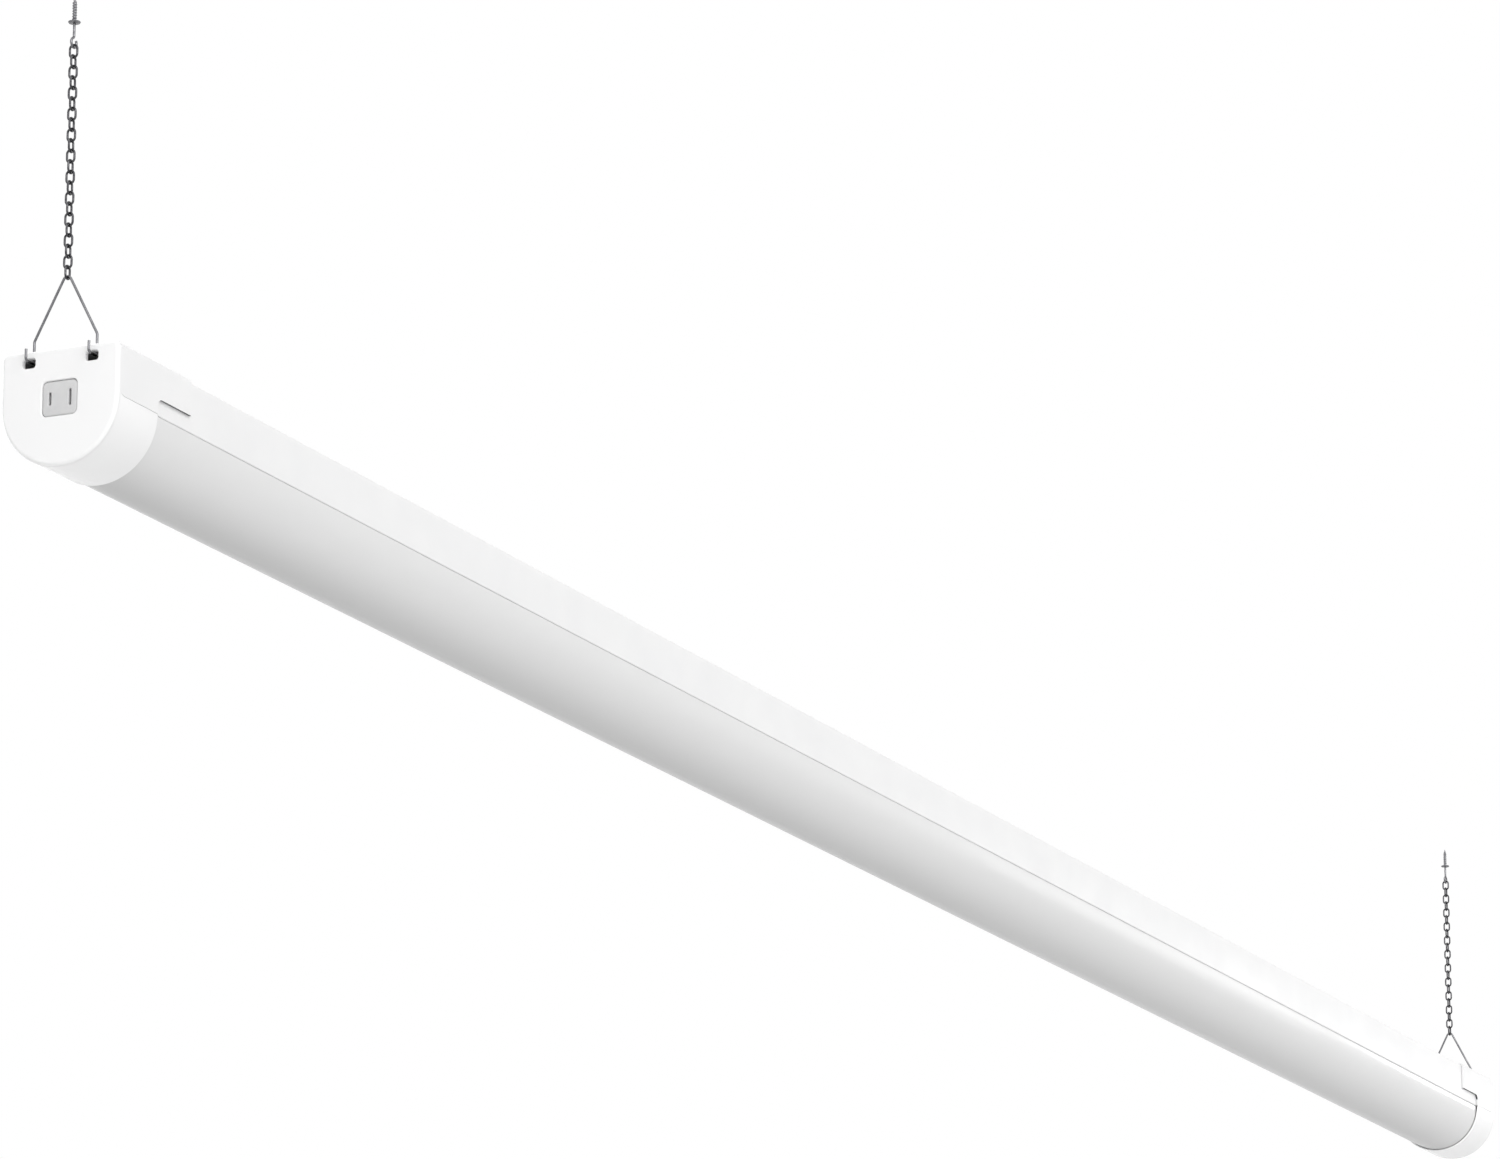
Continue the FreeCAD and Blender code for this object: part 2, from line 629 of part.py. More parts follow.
def make_driver():
    """The driver: a plastic case open below, its board and the two largest components."""
    case = new_body("driver_case")
    half_x, half_y = S["driver_length"] / 2, S["driver_width"] / 2
    floor_z = tray_under + S["steel"]
    wall = S["driver_wall"]
    pad(case, "shell", "XY_Plane", floor_z, S["driver_height"],
        rounded(-half_x, half_x, -half_y, half_y, wall * 2))
    pocket(case, "inside", "XY_Plane", floor_z - S["seat_gap"],
           S["driver_height"] - wall + S["seat_gap"],
           rounded(wall - half_x, half_x - wall, wall - half_y, half_y - wall, wall))
    board = new_body("driver_board")
    edge = wall + S["seat_gap"]
    board_low = floor_z + S["pcb_lift"]
    pad(board, "board", "XY_Plane", board_low, S["pcb_thick"],
        bevelled(edge - half_x, half_x - edge, edge - half_y, half_y - edge, wall))
    for x in (S["driver_length"] / -3, S["driver_length"] / 3):
        pad(board, "standoff_%d" % (x.number > 0), "XY_Plane", floor_z, S["pcb_lift"],
            rectangle(x - wall, x + wall, -wall, wall))
    component_low = board_low + S["pcb_thick"]
    transformer = new_body("driver_transformer")
    ferrite = S["driver_height"] / 2
    pad(transformer, "core", "XY_Plane", component_low, ferrite,
        rectangle(-ferrite, ferrite, -ferrite, ferrite))
    pad(transformer, "winding", "XY_Plane", component_low, ferrite * 0.8,
        bevelled(ferrite * -1.3, ferrite * 1.3, ferrite * -0.6, ferrite * 0.6, ferrite * 0.3))
    capacitor = doc.addObject("Part::Cylinder", "driver_capacitor")
    capacitor.Label = "driver_capacitor"
    capacitor.setExpression("Radius", (ferrite * 0.6).formula)
    capacitor.setExpression("Height", (ferrite * 1.1).formula)
    capacitor.setExpression("Placement.Base.x", (S["driver_length"] / 4).formula)
    capacitor.setExpression("Placement.Base.z", component_low.formula)
    return [case, board, transformer, capacitor]


def make_wire(label, side):
    """A mains wire from the outlet's terminal past the driver to the inlet's terminal."""
    back = face_x.number + value(S["outlet_sink"]) + value(S["outlet_depth"]) + value(S["leaf_thick"])
    start_y, run_y, z = side * blade_y.number, side * value(S["wire_spread"]) / 2, tail_z.number
    lead_end = back + value(S["wire_lead"])
    runs = [(back, start_y), (lead_end, start_y), (lead_end + value(S["wire_splay"]), run_y)]
    points = [Vector(x, y, z) for x, y in runs] + [Vector(-x, y, z) for x, y in reversed(runs)]
    end = half_length.number - value(S["outlet_sink"]) - value(S["outlet_depth"])
    points[-1] = Vector(end - 2 * value(S["leaf_thick"]), start_y, z)
    route = bent_route(points, [value(S["wire_bend"])] * 4, 2)
    return solid_feature(label, faceted_bar(route, value(S["wire_radius"]), 8))


def make_screws():
    """Pan-head screws that hold the sleeves on the housing."""
    radius, head = value(S["screw_radius"]), value(S["screw_head"])
    head_height, length = value(S["screw_head_height"]), value(S["screw_length"])
    screws = []
    for end in (-1, 1):
        for side in (-1, 1):
            x = end * (half_length.number - value(S["screw_setback"]))
            y = side * value(S["screw_spacing"]) / 2
            seat = Vector(x, y, top.number)
            shank = faceted_bar([seat - Vector(0, 0, length), seat], radius, 12)
            cap = faceted_bar([seat, seat + Vector(0, 0, head_height)], head, 12)
            screws.append(shank.fuse(cap).removeSplitter())
    return solid_feature("sleeve_screws", Part.makeCompound(screws))


# ---------------------------------------------------------------- hangers, chains and hooks

LINK_STEPS = 4      # straight steps round each end of a link
LOOP_STEPS = 12     # and round a hook's loop

def make_hanger():
    """One bent wire: two hooked tips through the cap's holes, two legs and a peak."""
    x = leg_x.number
    y, z = leg_y.number, wire_z.number
    tip_x = face_x.number - value(S["tip_reach"])
    knee_z = top.number + value(S["knee_rise"])
    slope = (peak_z - knee_z) / y
    overshoot = value(S["peak_bend"]) * (math.hypot(1, slope) - 1)
    left = [Vector(tip_x, y, z + value(S["tip_rise"])), Vector(tip_x, y, z), Vector(x, y, z),
            Vector(x, y, knee_z)]
    right = [Vector(point.x, -point.y, point.z) for point in reversed(left)]
    path_points = left + [Vector(x, 0, peak_z + overshoot)] + right
    tip, knee, peak = value(S["tip_bend"]), value(S["knee_bend"]), value(S["peak_bend"])
    route = bent_route(path_points, [tip, tip, knee, peak, knee, tip, tip], 4)
    return solid_feature("hanger_near", faceted_bar(route, value(S["hanger_wire"]) / 2, 6))


def make_link(z, face_on):
    """A chain link: two half rings joined by two straight sides, crosswise or lengthwise."""
    radius = value(S["link_wire"]) / 2
    bend = value(S["link_width"]) / 2 - radius
    straight = link_half - bend
    route = []
    for end in (1, -1):
        for step in range(LINK_STEPS + 1):
            angle = math.pi * step / LINK_STEPS
            route.append(Vector(end * bend * math.cos(angle), 0,
                                end * (straight + bend * math.sin(angle))))
    link = faceted_bar(route[LINK_STEPS:] + route[:LINK_STEPS], radius, 6, closed=True)
    if face_on:
        link.rotate(Vector(0, 0, 0), Vector(0, 0, 1), 90)
    link.translate(Vector(leg_x.number, 0, z))
    return link


def make_chain():
    """The chain's links hang in each other, every other one turned a quarter turn."""
    links = [make_link(first_link - index * link_pitch, index % 2 == 0)
             for index in range(int(value(S["link_count"])))]
    return [solid_feature("chain_near_top_link", links[0]),
            solid_feature("chain_near_links", Part.makeCompound(links[1:]))]


def make_hook():
    """A screw hook: tapered thread above the ceiling plane, flange, shank and open loop."""
    x = leg_x.number
    loop, neck = value(S["hook_loop"]), value(S["hook_neck"])
    shank = value(S["hook_shank"])
    centre = Vector(x, 0, loop_z)
    neck_centre = Vector(x - neck, 0, -shank)
    join = neck_centre + (centre - neck_centre) * (neck / (neck + loop))
    join_angle = math.atan2(join.z - loop_z, join.x - x)
    gap_angle = math.radians(400)
    route = [Vector(x, 0, -value(S["flange_height"]) / 2)]
    for step in range(4):
        angle = (join_angle - math.pi) * step / 3
        route.append(neck_centre + Vector(neck * math.cos(angle), 0, neck * math.sin(angle)))
    for step in range(1, LOOP_STEPS + 1):
        angle = join_angle + (gap_angle - join_angle) * step / LOOP_STEPS
        route.append(centre + Vector(loop * math.cos(angle), 0, loop * math.sin(angle)))
    hook = faceted_bar(route, value(S["hook_wire"]) / 2, 8)
    flange_height = value(S["flange_height"])
    flange = faceted_bar([Vector(x, 0, -flange_height), Vector(x, 0, 0)], value(S["flange_radius"]), 12)
    straight = value(S["thread_length"]) - value(S["thread_point"])
    thread = Part.makeCylinder(value(S["thread_radius"]), straight, Vector(x, 0, 0))
    point = Part.makeCone(value(S["thread_radius"]), value(S["thread_radius"]) * 0.1,
                          value(S["thread_point"]), Vector(x, 0, straight))
    whole = hook.fuse([flange, thread, point]).removeSplitter()
    return solid_feature("ceiling_hook_near", whole)


# ---------------------------------------------------------------- the whole lamp

inlet = make_inlet()
make_blade_holes(inlet)
cap, sleeve, hanger, hook = make_end_cap(), make_sleeve(), make_hanger(), make_hook()
near_chain = make_chain()
pieces = [make_housing(), make_lens(), cap, sleeve, hanger, hook, inlet, make_outlet(), make_tray(),
          make_chips(), make_screws()]
pieces += near_chain + make_driver()
pieces += [make_contact("outlet_contact_live", blade_y), make_contact("outlet_contact_neutral", -blade_y)]
pieces += [make_blade("inlet_blade_live", blade_y), make_blade("inlet_blade_neutral", -blade_y)]
pieces += [make_board("led_board_left", S["board_spacing"] / 2),
           make_board("led_board_right", -S["board_spacing"] / 2)]
pieces += [make_wire("wire_live", 1), make_wire("wire_neutral", -1)]
pieces += [mirrored(source, source.Label.replace("_near", "_far"))
           for source in [cap, sleeve, hanger, hook] + near_chain]
doc.recompute()

for item in doc.Objects:
    if "Invalid" in item.State or "Error" in item.State:
        raise RuntimeError("%s failed: %s" % (item.Label, item.State))
os.makedirs("parts", exist_ok=True)
for piece in pieces:
    if piece.Shape.isNull() or not piece.Shape.isValid():
        raise RuntimeError(piece.Label + " has no valid shape")
    piece.Shape.exportStep("parts/%s.step" % piece.Label)
print("%d pieces, cap top at %.2f mm" % (len(pieces), top.number))
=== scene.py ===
import math

import bmesh
import bpy
from mathutils import Matrix, Vector


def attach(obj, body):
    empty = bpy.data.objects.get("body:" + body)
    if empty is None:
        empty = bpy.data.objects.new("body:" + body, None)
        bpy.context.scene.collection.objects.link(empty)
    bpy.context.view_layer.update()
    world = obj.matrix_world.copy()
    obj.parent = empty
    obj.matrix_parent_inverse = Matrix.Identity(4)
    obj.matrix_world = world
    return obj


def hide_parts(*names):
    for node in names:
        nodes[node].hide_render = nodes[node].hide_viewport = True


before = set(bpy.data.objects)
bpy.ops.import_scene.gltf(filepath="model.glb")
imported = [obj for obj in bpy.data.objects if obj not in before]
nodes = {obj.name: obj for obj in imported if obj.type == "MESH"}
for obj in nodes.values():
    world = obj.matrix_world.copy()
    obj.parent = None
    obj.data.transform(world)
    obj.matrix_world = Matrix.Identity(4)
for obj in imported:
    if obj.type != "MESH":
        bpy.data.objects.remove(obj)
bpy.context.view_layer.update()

scene = bpy.context.scene


# ---------------------------------------------------------------- the white studio
# The lamp is seen from below and from its outlet end, through a long lens. Broad soft light comes
# from its front left, from behind it and from above, and two small panels light its far end. A
# pale floor lies below the camera.

def aimed(place, target):
    """An upright frame at place that looks at target."""
    look = (Vector(target) - Vector(place)).normalized()
    side = look.cross(Vector((0, 0, 1))).normalized()
    turn = Matrix((side, side.cross(look), -look)).transposed().to_4x4()
    return Matrix.Translation(place) @ turn


def put_light(label, kind, place, target, strength):
    """A studio light at place that shines at target."""
    light = bpy.data.lights.new(label, kind)
    light.energy = strength
    stand = bpy.data.objects.new(label, light)
    stand.matrix_world = aimed(place, target)
    scene.collection.objects.link(stand)
    return light, stand


yaw, pitch = math.radians(24.17), math.radians(14.83)
camera_place = Vector((-4.311, -1.807, -1.269))
view_line = Vector((math.cos(pitch) * math.cos(yaw), math.cos(pitch) * math.sin(yaw),
                    math.sin(pitch)))
lens_data = bpy.data.cameras.new("camera")
lens_data.sensor_width = 36.0
lens_data.lens = 160.8
camera = bpy.data.objects.new("camera", lens_data)
camera.matrix_world = aimed(camera_place, camera_place + view_line)
scene.collection.objects.link(camera)
scene.camera = camera
scene.view_settings.view_transform = "Standard"

sun_distance, sun_spread = 4, math.radians(50)
for label, source, strength in (("light_front", (-0.62, -0.66, 0.40), 1.8),
                                ("light_back", (0.55, 0.70, 0.45), 0.9),
                                ("light_above", (0.10, 0.05, 1.0), 0.35)):
    light, stand = put_light(label, "SUN", Vector(source) * sun_distance, (0, 0, 0), strength)
    light.angle = sun_spread

for label, place, target, size, strength, only_gloss in (
        ("light_far_wall", (1.70, -0.60, -0.10), (1.15, 0, -0.21), 0.4, 0.40, False),
        ("light_far_streak", (4.00, -1.04, 0.22), (0.80, 0, -0.23), 0.22, 2.1, True)):
    light, stand = put_light(label, "AREA", place, target, strength)
    light.size = size
    stand.visible_camera = False
    stand.visible_diffuse = not only_gloss

world = bpy.data.worlds.new("white_studio")
scene.world = world
world.use_nodes = True
sky = world.node_tree
sky.nodes.clear()
soft, white = sky.nodes.new("ShaderNodeBackground"), sky.nodes.new("ShaderNodeBackground")
for background, strength in ((soft, 0.50), (white, 1.0)):
    background.inputs["Color"].default_value = (1, 1, 1, 1)
    background.inputs["Strength"].default_value = strength
rays = sky.nodes.new("ShaderNodeLightPath")
either, any_seen = sky.nodes.new("ShaderNodeMath"), sky.nodes.new("ShaderNodeMath")
either.operation = any_seen.operation = "MAXIMUM"
mixed = sky.nodes.new("ShaderNodeMixShader")
surroundings = sky.nodes.new("ShaderNodeOutputWorld")
sky.links.new(rays.outputs["Is Camera Ray"], either.inputs[0])
sky.links.new(rays.outputs["Is Glossy Ray"], either.inputs[1])
sky.links.new(either.outputs[0], any_seen.inputs[0])
sky.links.new(rays.outputs["Is Transmission Ray"], any_seen.inputs[1])
sky.links.new(any_seen.outputs[0], mixed.inputs[0])
sky.links.new(soft.outputs[0], mixed.inputs[1])
sky.links.new(white.outputs[0], mixed.inputs[2])
sky.links.new(mixed.outputs[0], surroundings.inputs["Surface"])

floor_half, floor_z, floor_glow = 14, -2.3, 0.6
floor_mesh = bpy.data.meshes.new("floor")
floor_mesh.from_pydata([(-floor_half, -floor_half, floor_z), (floor_half, -floor_half, floor_z),
                        (floor_half, floor_half, floor_z), (-floor_half, floor_half, floor_z)],
                       [], [(0, 1, 2, 3)])
floor = bpy.data.objects.new("floor", floor_mesh)
floor_paint = bpy.data.materials.new("floor_paint")
floor_paint.use_nodes = True
floor_look = floor_paint.node_tree
ground = floor_look.nodes["Principled BSDF"]
ground.inputs["Base Color"].default_value = (0.86, 0.86, 0.86, 1)
ground.inputs["Roughness"].default_value = 0.9
lit, blended = (floor_look.nodes.new("ShaderNodeEmission"),
                floor_look.nodes.new("ShaderNodeMixShader"))
seen, glow = floor_look.nodes.new("ShaderNodeLightPath"), floor_look.nodes.new("ShaderNodeMath")
glow.operation = "MULTIPLY"
glow.inputs[1].default_value = floor_glow
floor_look.links.new(seen.outputs["Is Camera Ray"], glow.inputs[0])
floor_look.links.new(glow.outputs[0], blended.inputs[0])
floor_look.links.new(ground.outputs[0], blended.inputs[1])
floor_look.links.new(lit.outputs[0], blended.inputs[2])
floor_look.links.new(blended.outputs[0], floor_look.nodes["Material Output"].inputs["Surface"])
floor_mesh.materials.append(floor_paint)
scene.collection.objects.link(floor)


# ---------------------------------------------------------------- screw hooks
# Two small zinc-plated screw hooks, each bent from one wire, with a pressed flange against the
# ceiling, an open loop below it and a rolled wood-screw thread above it.

# A Mix node's colour sockets share their names with its number sockets, so they go by their place.
colour_a, colour_b, mixed_colour = 6, 7, 2


def skin_group():
    """Cloudy patches and fine grain that every finish of the lamp draws on."""
    tree = bpy.data.node_groups.new("skin", "ShaderNodeTree")
    for label, kind in (("Vector", "Vector"), ("Stretch", "Vector"), ("Patches", "Float"),
                        ("Grains", "Float")):
        tree.interface.new_socket(label, in_out="INPUT", socket_type="NodeSocket" + kind)
    for label in ("Patch", "Grain"):
        tree.interface.new_socket(label, in_out="OUTPUT", socket_type="NodeSocketFloat")
    given, result = tree.nodes.new("NodeGroupInput"), tree.nodes.new("NodeGroupOutput")
    drawn = tree.nodes.new("ShaderNodeVectorMath")
    drawn.operation = "MULTIPLY"
    tree.links.new(given.outputs["Vector"], drawn.inputs[0])
    tree.links.new(given.outputs["Stretch"], drawn.inputs[1])
    for label, source in (("Patch", "Patches"), ("Grain", "Grains")):
        noise, spread = tree.nodes.new("ShaderNodeTexNoise"), tree.nodes.new("ShaderNodeMapRange")
        noise.inputs["Detail"].default_value = 3.0
        spread.inputs["From Min"].default_value = 0.32
        spread.inputs["From Max"].default_value = 0.68
        tree.links.new(drawn.outputs[0], noise.inputs["Vector"])
        tree.links.new(given.outputs[source], noise.inputs["Scale"])
        tree.links.new(noise.outputs["Fac"], spread.inputs["Value"])
        tree.links.new(spread.outputs["Result"], result.inputs[label])
    return tree


skin = skin_group()


def finish(name, light, dark, rough, patches, grains, depth, stretch=(1, 1, 1), **plain):
    """A finish whose colour and roughness drift in patches and whose surface has a fine grain."""
    material = bpy.data.materials.new(name)
    material.use_nodes = True
    tree = material.node_tree
    shader = tree.nodes["Principled BSDF"]
    for socket, setting in plain.items():
        shader.inputs[socket.replace("_", " ")].default_value = setting
    place, group = tree.nodes.new("ShaderNodeTexCoord"), tree.nodes.new("ShaderNodeGroup")
    group.node_tree = skin
    group.inputs["Stretch"].default_value = stretch
    group.inputs["Patches"].default_value = patches
    group.inputs["Grains"].default_value = grains
    tint, gloss = tree.nodes.new("ShaderNodeMix"), tree.nodes.new("ShaderNodeMapRange")
    tint.data_type = "RGBA"
    tint.inputs[colour_a].default_value = (*light, 1)
    tint.inputs[colour_b].default_value = (*dark, 1)
    gloss.inputs["To Min"].default_value, gloss.inputs["To Max"].default_value = rough
    bump = tree.nodes.new("ShaderNodeBump")
    bump.inputs["Distance"].default_value = depth
    tree.links.new(place.outputs["Object"], group.inputs["Vector"])
    tree.links.new(group.outputs["Patch"], tint.inputs["Factor"])
    tree.links.new(tint.outputs[mixed_colour], shader.inputs["Base Color"])
    tree.links.new(group.outputs["Patch"], gloss.inputs["Value"])
    tree.links.new(gloss.outputs["Result"], shader.inputs["Roughness"])
    tree.links.new(group.outputs["Grain"], bump.inputs["Height"])
    tree.links.new(bump.outputs["Normal"], shader.inputs["Normal"])
    return material


def made_mesh(maker):
    """The finished mesh of a curve, or of a mesh with modifiers. The maker is thrown away."""
    scene.collection.objects.link(maker)
    finished = maker.evaluated_get(bpy.context.evaluated_depsgraph_get())
    result = bpy.data.meshes.new_from_object(finished)
    bpy.data.objects.remove(maker)
    return result


def wire_mesh(line, radius):
    """Round wire along a line, with flat cut ends."""
    path = bpy.data.curves.new("wire", "CURVE")
    path.dimensions = "3D"
    path.bevel_depth = radius
    path.bevel_resolution = 3
    path.use_fill_caps = True
    spline = path.splines.new("POLY")
    spline.points.add(len(line) - 1)
    for point, place in zip(spline.points, line):
        point.co = (*place, 1)
    return made_mesh(bpy.data.objects.new("wire", path))


def closed_mesh(shape):
    """Merges doubles, turns all faces outwards and gives the mesh."""
    bmesh.ops.remove_doubles(shape, verts=shape.verts, dist=1e-7)
    bmesh.ops.recalc_face_normals(shape, faces=shape.faces)
    return plain_mesh(shape)


def plain_mesh(shape):
    """The mesh of a shape that is being edited, which ends there."""
    mesh = bpy.data.meshes.new("shape")
    shape.to_mesh(mesh)
    shape.free()
    return mesh


def turned(profile, x, sides=40):
    """A shape turned on the hook's axis. The profile gives radius and height, pole to pole."""
    shape = bmesh.new()
    rings = []
    for radius, z in profile:
        count = sides if radius > 0 else 1
        rings.append([shape.verts.new((x + radius * math.cos(2 * math.pi * side / count),
                                       radius * math.sin(2 * math.pi * side / count), z))
                      for side in range(count)])
    for low, high in zip(rings, rings[1:]):
        for side in range(sides):
            after = (side + 1) % sides
            corners = [low[side % len(low)], low[after % len(low)], high[after % len(high)],
                       high[side % len(high)]]
            shape.faces.new(dict.fromkeys(corners))
    return closed_mesh(shape)


def joined(*meshes):
    """Several meshes as one."""
    whole = bmesh.new()
    for mesh in meshes:
        whole.from_mesh(mesh)
    return plain_mesh(whole)


def far_copy(mesh):
    """The same shape at the lamp's other end."""
    shape = bmesh.new()
    shape.from_mesh(mesh)
    bmesh.ops.scale(shape, vec=(-1, 1, 1), verts=shape.verts)
    bmesh.ops.reverse_faces(shape, faces=shape.faces)
    return plain_mesh(shape)


def add_piece(name, mesh, material, body, slot, *stands_for):
    """Puts a finished mesh in the scene as a piece that rides on a body."""
    crease = math.radians(38)
    mesh.polygons.foreach_set("use_smooth", [True] * len(mesh.polygons))
    mesh.set_sharp_from_angle(angle=crease)
    mesh.materials.clear()
    mesh.materials.append(material)
    piece = bpy.data.objects.new(name, mesh)
    scene.collection.objects.link(piece)
    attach(piece, body)
    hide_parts(*stands_for)


def new_tree(name, *inputs):
    """A geometry tree with named inputs, and its input and output nodes."""
    tree = bpy.data.node_groups.new(name, "GeometryNodeTree")
    tree.interface.new_socket("Geometry", in_out="OUTPUT", socket_type="NodeSocketGeometry")
    for label, kind in inputs:
        tree.interface.new_socket(label, in_out="INPUT", socket_type="NodeSocket" + kind)
    return tree, tree.nodes.new("NodeGroupInput"), tree.nodes.new("NodeGroupOutput")


def end_tree(tree, grown_shape, given, result):
    """Ends a geometry tree: instances become real and take the finish that the tree is given."""
    single = tree.nodes.new("GeometryNodeRealizeInstances")
    coated = tree.nodes.new("GeometryNodeSetMaterial")
    tree.links.new(grown_shape, single.inputs[0])
    tree.links.new(single.outputs[0], coated.inputs["Geometry"])
    tree.links.new(given.outputs["Finish"], coated.inputs["Material"])
    tree.links.new(coated.outputs[0], result.inputs[0])
    return tree


def grown(tree, start=None, **settings):
    """The plain mesh that a tree makes with these settings."""
    maker = bpy.data.objects.new("maker", start or bpy.data.meshes.new("seed"))
    modifier = maker.modifiers.new("tree", "NODES")
    modifier.node_group = tree
    for item in tree.interface.items_tree:
        if item.in_out == "INPUT" and item.name in settings:
            modifier[item.identifier] = settings[item.name]
    return made_mesh(maker)


def maths(tree, operation, first, second=0.0):
    """A Math node's output. Each value is a number or another node's output."""
    node = tree.nodes.new("ShaderNodeMath")
    node.operation = operation
    for socket, given in zip(node.inputs, (first, second)):
        if isinstance(given, (int, float)):
            socket.default_value = given
        else:
            tree.links.new(given, socket)
    return node.outputs[0]


def thread_tree():
    """A tapered rod whose skin rises and falls along a helix."""
    tree, given, result = new_tree("screw_thread", ("Core", "Float"), ("Ridge", "Float"),
                                   ("Length", "Float"), ("Pitch", "Float"), ("Point", "Float"),
                                   ("Finish", "Material"))
    core, length = given.outputs["Core"], given.outputs["Length"]
    sharpness, thinnest = 2.5, 0.02
    rod = tree.nodes.new("GeometryNodeMeshCylinder")
    rod.inputs["Vertices"].default_value = 24
    rod.inputs["Side Segments"].default_value = 72
    tree.links.new(core, rod.inputs["Radius"])
    tree.links.new(length, rod.inputs["Depth"])
    place = tree.nodes.new("GeometryNodeInputPosition")
    split = tree.nodes.new("ShaderNodeSeparateXYZ")
    tree.links.new(place.outputs[0], split.inputs[0])
    x, y, z = split.outputs
    height = maths(tree, "ADD", z, maths(tree, "DIVIDE", length, 2.0))
    turn = maths(tree, "DIVIDE", maths(tree, "ARCTAN2", y, x), 2 * math.pi)
    turns_up = maths(tree, "DIVIDE", height, given.outputs["Pitch"])
    wave = maths(tree, "PINGPONG", maths(tree, "SUBTRACT", turns_up, turn), 0.5)
    crest = maths(tree, "POWER", maths(tree, "MULTIPLY", wave, 2.0), sharpness)
    ridge = maths(tree, "MULTIPLY", crest, given.outputs["Ridge"])
    left = maths(tree, "DIVIDE", maths(tree, "SUBTRACT", length, height), given.outputs["Point"])
    taper = maths(tree, "MAXIMUM", maths(tree, "MINIMUM", left, 1.0), thinnest)
    scale = maths(tree, "MULTIPLY", taper,
                  maths(tree, "ADD", 1.0, maths(tree, "DIVIDE", ridge, core)))
    gathered = tree.nodes.new("ShaderNodeCombineXYZ")
    tree.links.new(maths(tree, "MULTIPLY", x, scale), gathered.inputs[0])
    tree.links.new(maths(tree, "MULTIPLY", y, scale), gathered.inputs[1])
    tree.links.new(height, gathered.inputs[2])
    moved = tree.nodes.new("GeometryNodeSetPosition")
    tree.links.new(rod.outputs["Mesh"], moved.inputs["Geometry"])
    tree.links.new(gathered.outputs[0], moved.inputs["Position"])
    return end_tree(tree, moved.outputs[0], given, result)


hook_steel = finish("hook_steel", (0.26, 0.26, 0.27), (0.16, 0.16, 0.17), (0.28, 0.42), 400, 3000,
                    4e-6, Metallic=1.0)
hook_x, hook_wire, wire_top = -1.2135, 0.0008, -0.0004
shank_z, neck_bend, neck_steps = -0.0085, 0.0016, 8
loop_z, loop_bend, loop_steps, loop_end = -0.012599, 0.0028, 32, math.radians(400)
join_angle = math.atan2(shank_z - loop_z, -neck_bend)
hook_line = [Vector((hook_x, 0, wire_top))]
for step in range(neck_steps + 1):
    angle = (join_angle - math.pi) * step / neck_steps
    hook_line.append(Vector((hook_x - neck_bend + neck_bend * math.cos(angle), 0,
                             shank_z + neck_bend * math.sin(angle))))
for step in range(1, loop_steps + 1):
    angle = join_angle + (loop_end - join_angle) * step / loop_steps
    hook_line.append(Vector((hook_x + loop_bend * math.cos(angle), 0,
                             loop_z + loop_bend * math.sin(angle))))
flange_profile = [(0, -0.0012), (0.0020, -0.0012), (0.0031, -0.0010), (0.0035, -0.0006),
                  (0.0036, -0.0002), (0.0034, 0), (0, 0)]
thread = grown(thread_tree(), Core=0.0011, Ridge=0.0004, Length=0.015, Pitch=0.0016, Point=0.004,
               Finish=hook_steel)
thread.transform(Matrix.Translation((hook_x, 0, 0)))
hook = joined(wire_mesh(hook_line, hook_wire), turned(flange_profile, hook_x), thread)
for end, mesh in (("near", hook), ("far", far_copy(hook))):
    add_piece("ceiling_screw_hook_" + end, mesh, hook_steel, "ceiling_hooks", "hook_steel",
              "ceiling_hook_" + end)


# ---------------------------------------------------------------- chains
# Each chain is 22 welded oval links of dull nickel-plated wire, every other link turned a quarter
# turn. The top link hangs in the screw hook and the last one holds the hanger.

